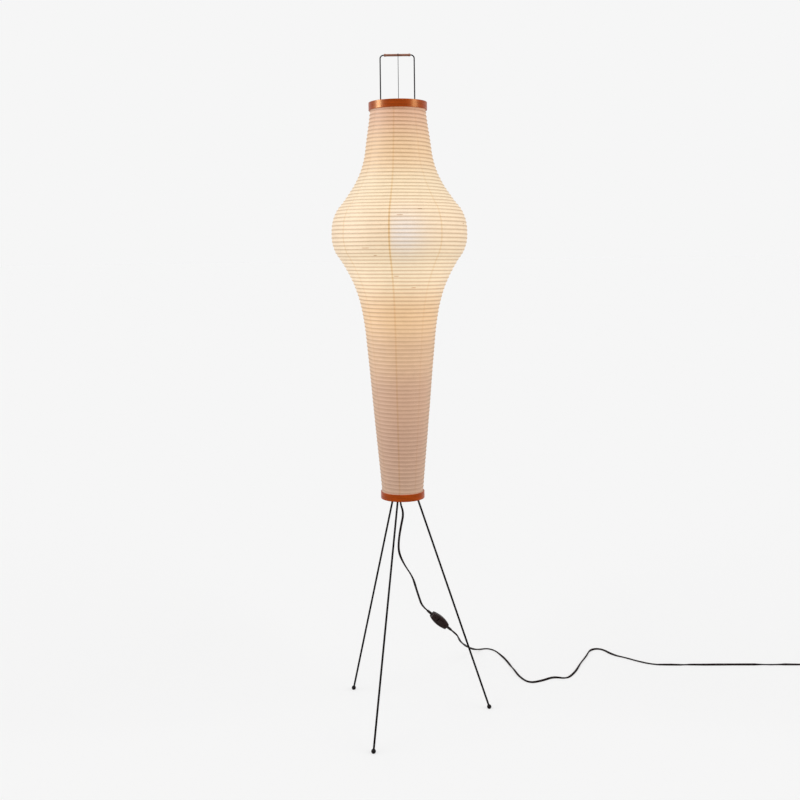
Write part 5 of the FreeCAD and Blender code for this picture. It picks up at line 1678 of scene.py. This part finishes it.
@dataclass
class Lampholder:
    """The lampholder with its bulb."""

    segments: int = 64
    neck_radius: float = 0.0107
    neck_height: float = 0.0072
    groove_places: tuple[float, float] = (0.3, 0.6)
    groove_depth: float = 0.0006
    groove_width: float = 0.0013
    groove_floor: tuple[float, float] = (0.0004, 0.0009)
    rim_height: float = 0.0018
    rim_chamfer: float = 0.0004
    wall: float = 0.0020
    bore: float = 0.0051
    lip_height: float = 0.0076
    foot_band: float = 0.0025
    band_slope: float = 0.0005
    ridge_radius: float = 0.0007
    ridge_ends: tuple[float, float] = (0.0003, 0.0010)
    ridge_gaps: tuple[float, float] = (0.0015, 0.0010)
    ridges: int = 44
    thread_wall: float = 0.0005
    thread_depth: float = 0.0003
    bulb_pitch: float = 0.0036
    bulb_thread_depth: float = 0.0007
    cap_taper: float = 0.0060
    cap_rim: float = 0.0018
    tip_radius: float = 0.0050
    globe_neck: float = 0.0140
    globe_radius: float = 0.0300
    globe_steps: int = 24
    shoulder: float = math.radians(38)
    shoulder_steps: int = 8
    neck_share: float = 0.45

    def build(self) -> None:
        """Turn every piece."""
        self._cap()
        self._shell()
        self._thread()
        Workshop.dress_copy("holder_core", Looks.CERAMIC, 0.0007)
        Workshop.dress_copy("holder_contact", Looks.BRASS, 0.0004)
        self._bulb_glass()
        self._bulb_cap()

    def _turned(self, name: str, node: str, outline: Outline, look: Looks, rounding: float) -> None:
        """Turn one hollow piece and round its edges."""
        turned = Workshop.lathe(outline, self.segments, closed=True)
        Workshop.dress(name, turned, look, node, rounding=rounding)

    def _cap(self) -> None:
        """The lampholder's cone with two grooves round its neck."""
        low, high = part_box("holder_cap")
        foot, top, outer = low[2], high[2], high[0]
        neck, level = self.neck_radius, foot + self.neck_height
        outline = [(self.bore, foot), (neck, foot)]
        for share in self.groove_places:
            groove = foot + self.neck_height * share
            floor = [(neck - self.groove_depth, groove + up) for up in self.groove_floor]
            outline += [(neck, groove), *floor, (neck, groove + self.groove_width)]
        rim, inside = top - self.rim_height, neck - self.wall
        outline += [(neck, level), (outer - self.rim_chamfer, rim - self.rim_chamfer), (outer, rim),
                    (outer, top), (outer - self.wall, top), (inside, level + self.groove_depth),
                    (inside, foot + self.wall), (self.bore, foot + self.wall)]
        self._turned("holder_cone", "holder_cap", outline, Looks.HOLDER, 0.0003)

    def _shell(self) -> None:
        """The lampholder's shell, ribbed for the fingers."""
        low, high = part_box("holder_shell")
        outer, foot, top = high[0], low[2], high[2]
        radius = self.ridge_radius
        body, collar = outer - radius * 0.7, top - self.lip_height
        band = foot + self.foot_band
        outline = [(body - self.wall, foot), (outer, foot), (outer, band), (body, band + self.band_slope),
                   (body, collar), (outer, collar + self.band_slope), (outer, top), (body - self.wall, top)]
        shell = Workshop.lathe(outline, 2 * self.ridges, closed=True)
        start, end = band + self.ridge_gaps[0], collar - self.ridge_gaps[1]
        near, far = self.ridge_ends
        ridge = Workshop.lathe([(0.0, start), (radius * 0.7, start + near), (radius, start + far),
                                (radius, end - far), (radius * 0.7, end - near), (0.0, end)], 8)
        ridge = Workshop.moved(ridge, Matrix.Translation((outer - radius, 0, 0)))
        whole = Workshop.joined("shell", [shell, repeated(ridge, self.ridges, Looks.HOLDER)])
        Workshop.dress("holder_ribbed_shell", whole, Looks.HOLDER, "holder_shell", rounding=0.0002,
                       segments=1)

    def _thread(self) -> None:
        """The brass thread that the bulb turns in."""
        low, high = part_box("holder_thread")
        outer, foot, top = high[0], low[2], high[2]
        inner, root = outer - self.thread_wall, outer - self.thread_depth
        wave = Workshop.thread(root, outer, foot + 0.0005, top - 0.0005, self.bulb_pitch)
        outline = [(inner, foot), (root, foot), *wave, (root, top), (inner, top)]
        self._turned("holder_rolled_thread", "holder_thread", outline, Looks.BRASS, 0.0001)

    def _bulb_glass(self) -> None:
        """The opal globe on its neck."""
        low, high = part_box("bulb_glass")
        foot, top, globe, neck = low[2], high[2], self.globe_radius, self.globe_neck
        middle = top - globe
        touch, touch_height = globe * math.sin(self.shoulder), middle - globe * math.cos(self.shoulder)
        neck_top = foot + (touch_height - foot) * self.neck_share
        rise = touch_height - neck_top
        slope = rise / math.tan(self.shoulder)
        outline = [(0.0, foot), (neck - 0.0008, foot), (neck, foot + 0.0008)]
        for step in range(self.shoulder_steps + 1):
            share = step / self.shoulder_steps
            outline.append((neck + (touch - neck) * smooth_step(share) + slope * (share ** 3 - share ** 2),
                            neck_top + rise * share))
        for step in range(1, self.globe_steps):
            angle = self.shoulder + (math.pi - self.shoulder) * step / self.globe_steps
            outline.append((globe * math.sin(angle), middle - globe * math.cos(angle)))
        outline.append((0.0, top))
        globe_mesh = Workshop.lathe(outline, self.segments)
        Workshop.dress("bulb_globe", globe_mesh, Looks.OPAL, "bulb_glass", "bulb")

    def _bulb_cap(self) -> None:
        """The bulb's cap, rolled into a thread, with its contact at the tip."""
        low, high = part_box("bulb_cap")
        outer, foot, top, tip = high[0], low[2], high[2], self.tip_radius
        taper, rim = foot + self.cap_taper, top - self.cap_rim
        wave = Workshop.thread(outer - self.bulb_thread_depth, outer, taper, top - 0.0025, self.bulb_pitch)
        outline = [(0.0, foot), (tip * 0.8, foot), (tip, foot + 0.0010), (tip + 0.0005, foot + 0.0016),
                   (outer - 0.0012, taper - 0.0004), *wave, (outer, rim), (outer, top), (0.0, top)]
        Workshop.dress("bulb_rolled_cap", Workshop.lathe(outline, 48), Looks.CAP, "bulb_cap", "bulb")


# ---- switch and plug

@dataclass
class Electrics:
    """The in-line switch, the plug, the reliefs and the tie."""

    switch_facing: Spot = (0.203, -0.959, -0.197)
    half_length: float = 0.032
    relief_length: float = 0.019
    relief_root: float = 0.0042
    relief_tip: float = 0.0035
    relief_ring: float = 0.0028
    relief_rings: tuple[float, float] = (0.2, 0.72)
    relief_groove: float = 0.0005
    gland_root: float = 0.0080
    plug_relief_root: float = 0.0055
    plug_relief_length: float = 0.024
    screw_radius: float = 0.0015
    screw_head_share: float = 0.1
    plug_half_width: float = 0.0130
    plug_half_height: float = 0.0088
    plug_half_length: float = 0.0180
    plug_squareness: float = 3.6
    finger_ridges: int = 5
    finger_pitch: float = 0.0036
    finger_start: float = -0.0100
    finger_ramps: tuple[float, float, float] = (0.0009, 0.0024, 0.0030)
    finger_depth: tuple[float, float] = (0.0012, 0.0008)
    finger_taper: tuple[float, float] = (0.0004, 0.0002)
    pin_radius: float = 0.0020
    pin_length: float = 0.0190
    pin_side: float = 0.0095
    pin_root: float = 0.0010
    roundings: tuple[tuple[str, Looks, float, str], ...] = (
        ("switch_cover", Looks.SWITCH, 0.0, "lamp"), ("switch_base", Looks.SWITCH, 0.0, "lamp"),
        ("switch_rocker", Looks.SWITCH, 0.0007, "rocker"), ("cord_tie", Looks.RELIEF, 0.0002, "lamp"),
        ("switch_contacts", Looks.BRASS, 0.0001, "lamp"), ("rocker_pin", Looks.ZINC, 0.0002, "lamp"))

    def build(self) -> None:
        """Make every piece of the switch and the plug."""
        for node, look, rounding, body in self.roundings:
            Workshop.dress_copy(node, look, rounding, body)
        for side, node in ((-1, "switch_relief_upper"), (1, "switch_relief_lower")):
            self._relief(node, SWITCH_CENTRE + SWITCH_AXIS * side * self.half_length, SWITCH_AXIS * side,
                         self.relief_length, self.relief_root)
        low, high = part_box("cord_gland")
        self._relief("cord_gland", Vector((0, 0, high[2])), DOWN, high[2] - low[2], self.gland_root)
        self._switch_screws()
        self._plug()

    def _relief(self, node: str, start: Vector, axis: Vector, length: float, root: float) -> None:
        """A tapered sleeve of rings that lets the flex bend gently.

        Args:
            node: The CAD node that it stands for.
            start: The middle of its thick end.
            axis: The way that it points.
            length: Its length.
            root: The radius of its thick end.
        """
        first, ringed = self.relief_rings
        rings = round(length * ringed / self.relief_ring)
        width = ringed / rings
        outline = [(0.0, 0.0), (root, 0.0), (root, length * 0.16)]
        for ring in range(rings):
            place = first + width * ring
            crest = root + (self.relief_tip - root) * place
            groove = crest - self.relief_groove
            outline += [(groove, length * place), (groove, length * (place + width * 0.25)),
                        (crest, length * (place + width * 0.4)), (crest, length * (place + width * 0.85))]
        end = self.relief_tip - 0.0002
        outline += [(end, length * 0.94), (end, length), (0.0, length)]
        mesh = Workshop.moved(Workshop.lathe(outline, 32), Workshop.standing(start, axis))
        Workshop.dress(f"{node}_ringed", mesh, Looks.RELIEF, node, rounding=0.00012, segments=1)

    def _switch_screws(self) -> None:
        """The two slotted screws that hold the switch's halves together."""
        facing = Vector(self.switch_facing)
        points = Workshop.islands("switch_screws")[-1]
        low, high = Workshop.reach(points, SWITCH_CENTRE, facing.normalized())
        aside = abs((Workshop.middle(points) - SWITCH_CENTRE).dot(SWITCH_AXIS))
        head = (high - low) * self.screw_head_share
        radius = self.screw_radius
        screw = Workshop.slotted(radius * 0.8, radius, radius * 0.9, high - low - head, head)
        placed = Workshop.moved(screw, Matrix.Translation((aside, 0, high - head)))
        both = Workshop.moved(repeated(placed, 2, Looks.BLACK_STEEL),
                              Workshop.standing(SWITCH_CENTRE, facing, SWITCH_AXIS))
        Workshop.dress("slotted_switch_screws", both, Looks.BLACK_STEEL, "switch_screws", smooth=False)

    def _plug(self) -> None:
        """The plug: a squarish grip with finger grooves, two round pins and a relief."""
        pins = [Workshop.middle(points) for points in Workshop.islands("plug_pins")]
        low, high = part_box("plug_body")
        middle = (Vector(low) + Vector(high)) / 2
        axis = ((pins[0] + pins[1]) / 2 - middle).normalized()
        place = Workshop.standing(middle, axis, pins[1] - pins[0])
        grip = Workshop.moved(Workshop.loft(self._grip_sections(), 56, self.plug_squareness), place)
        Workshop.dress("plug_grip", grip, Looks.PLUG, "plug_body", rounding=0.0002, segments=1)
        radius, tip = self.pin_radius, self.pin_length
        pin = Workshop.lathe([(0.0, -self.pin_root), (radius, -self.pin_root), (radius, tip - 0.0016),
                              (radius * 0.75, tip - 0.0005), (radius * 0.35, tip), (0.0, tip)], 28)
        pin = Workshop.moved(pin, Matrix.Translation((self.pin_side, 0, self.plug_half_length)))
        both = Workshop.moved(repeated(pin, 2, Looks.BRASS), place)
        Workshop.dress("plug_round_pins", both, Looks.BRASS, "plug_pins")
        self._relief("plug_relief", middle - axis * self.plug_half_length, -axis, self.plug_relief_length,
                     self.plug_relief_root)

    def _grip_sections(self) -> list[Spot]:
        """The plug's half width, half depth and height, from the flex to the pins."""
        long = self.plug_half_length
        sections = [(0.0060, 0.0056, -long), (0.0072, 0.0066, 0.0012 - long), (0.0084, 0.0074, 0.0045 - long)]
        rise, fall, out = self.finger_ramps
        for step in range(self.finger_ridges):
            groove = self.finger_start + self.finger_pitch * step
            before_last = self.finger_ridges - 1 - step
            wide = self.plug_half_width - self.finger_taper[0] * before_last
            tall = self.plug_half_height - self.finger_taper[1] * before_last
            low_wide, low_tall = wide - self.finger_depth[0], tall - self.finger_depth[1]
            sections += [(low_wide, low_tall, groove), (wide, tall, groove + rise),
                         (wide, tall, groove + fall), (low_wide, low_tall, groove + out)]
        wide, tall = self.plug_half_width, self.plug_half_height
        return sections + [(wide, tall, 0.0090), (wide, tall, long - 0.0012),
                           (wide - 0.0010, tall - 0.0010, long)]


# ---- the whole lamp

def main() -> None:
    """Build the studio and every piece."""
    logging.basicConfig(level=logging.INFO, format="%(name)s: %(message)s")
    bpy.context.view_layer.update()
    for maker in (Studio, Flex, Shade, Hoops, Bow, Tripod, Ironwork, Lampholder, Electrics):
        maker().build()


if __name__ == "__main__":
    main()
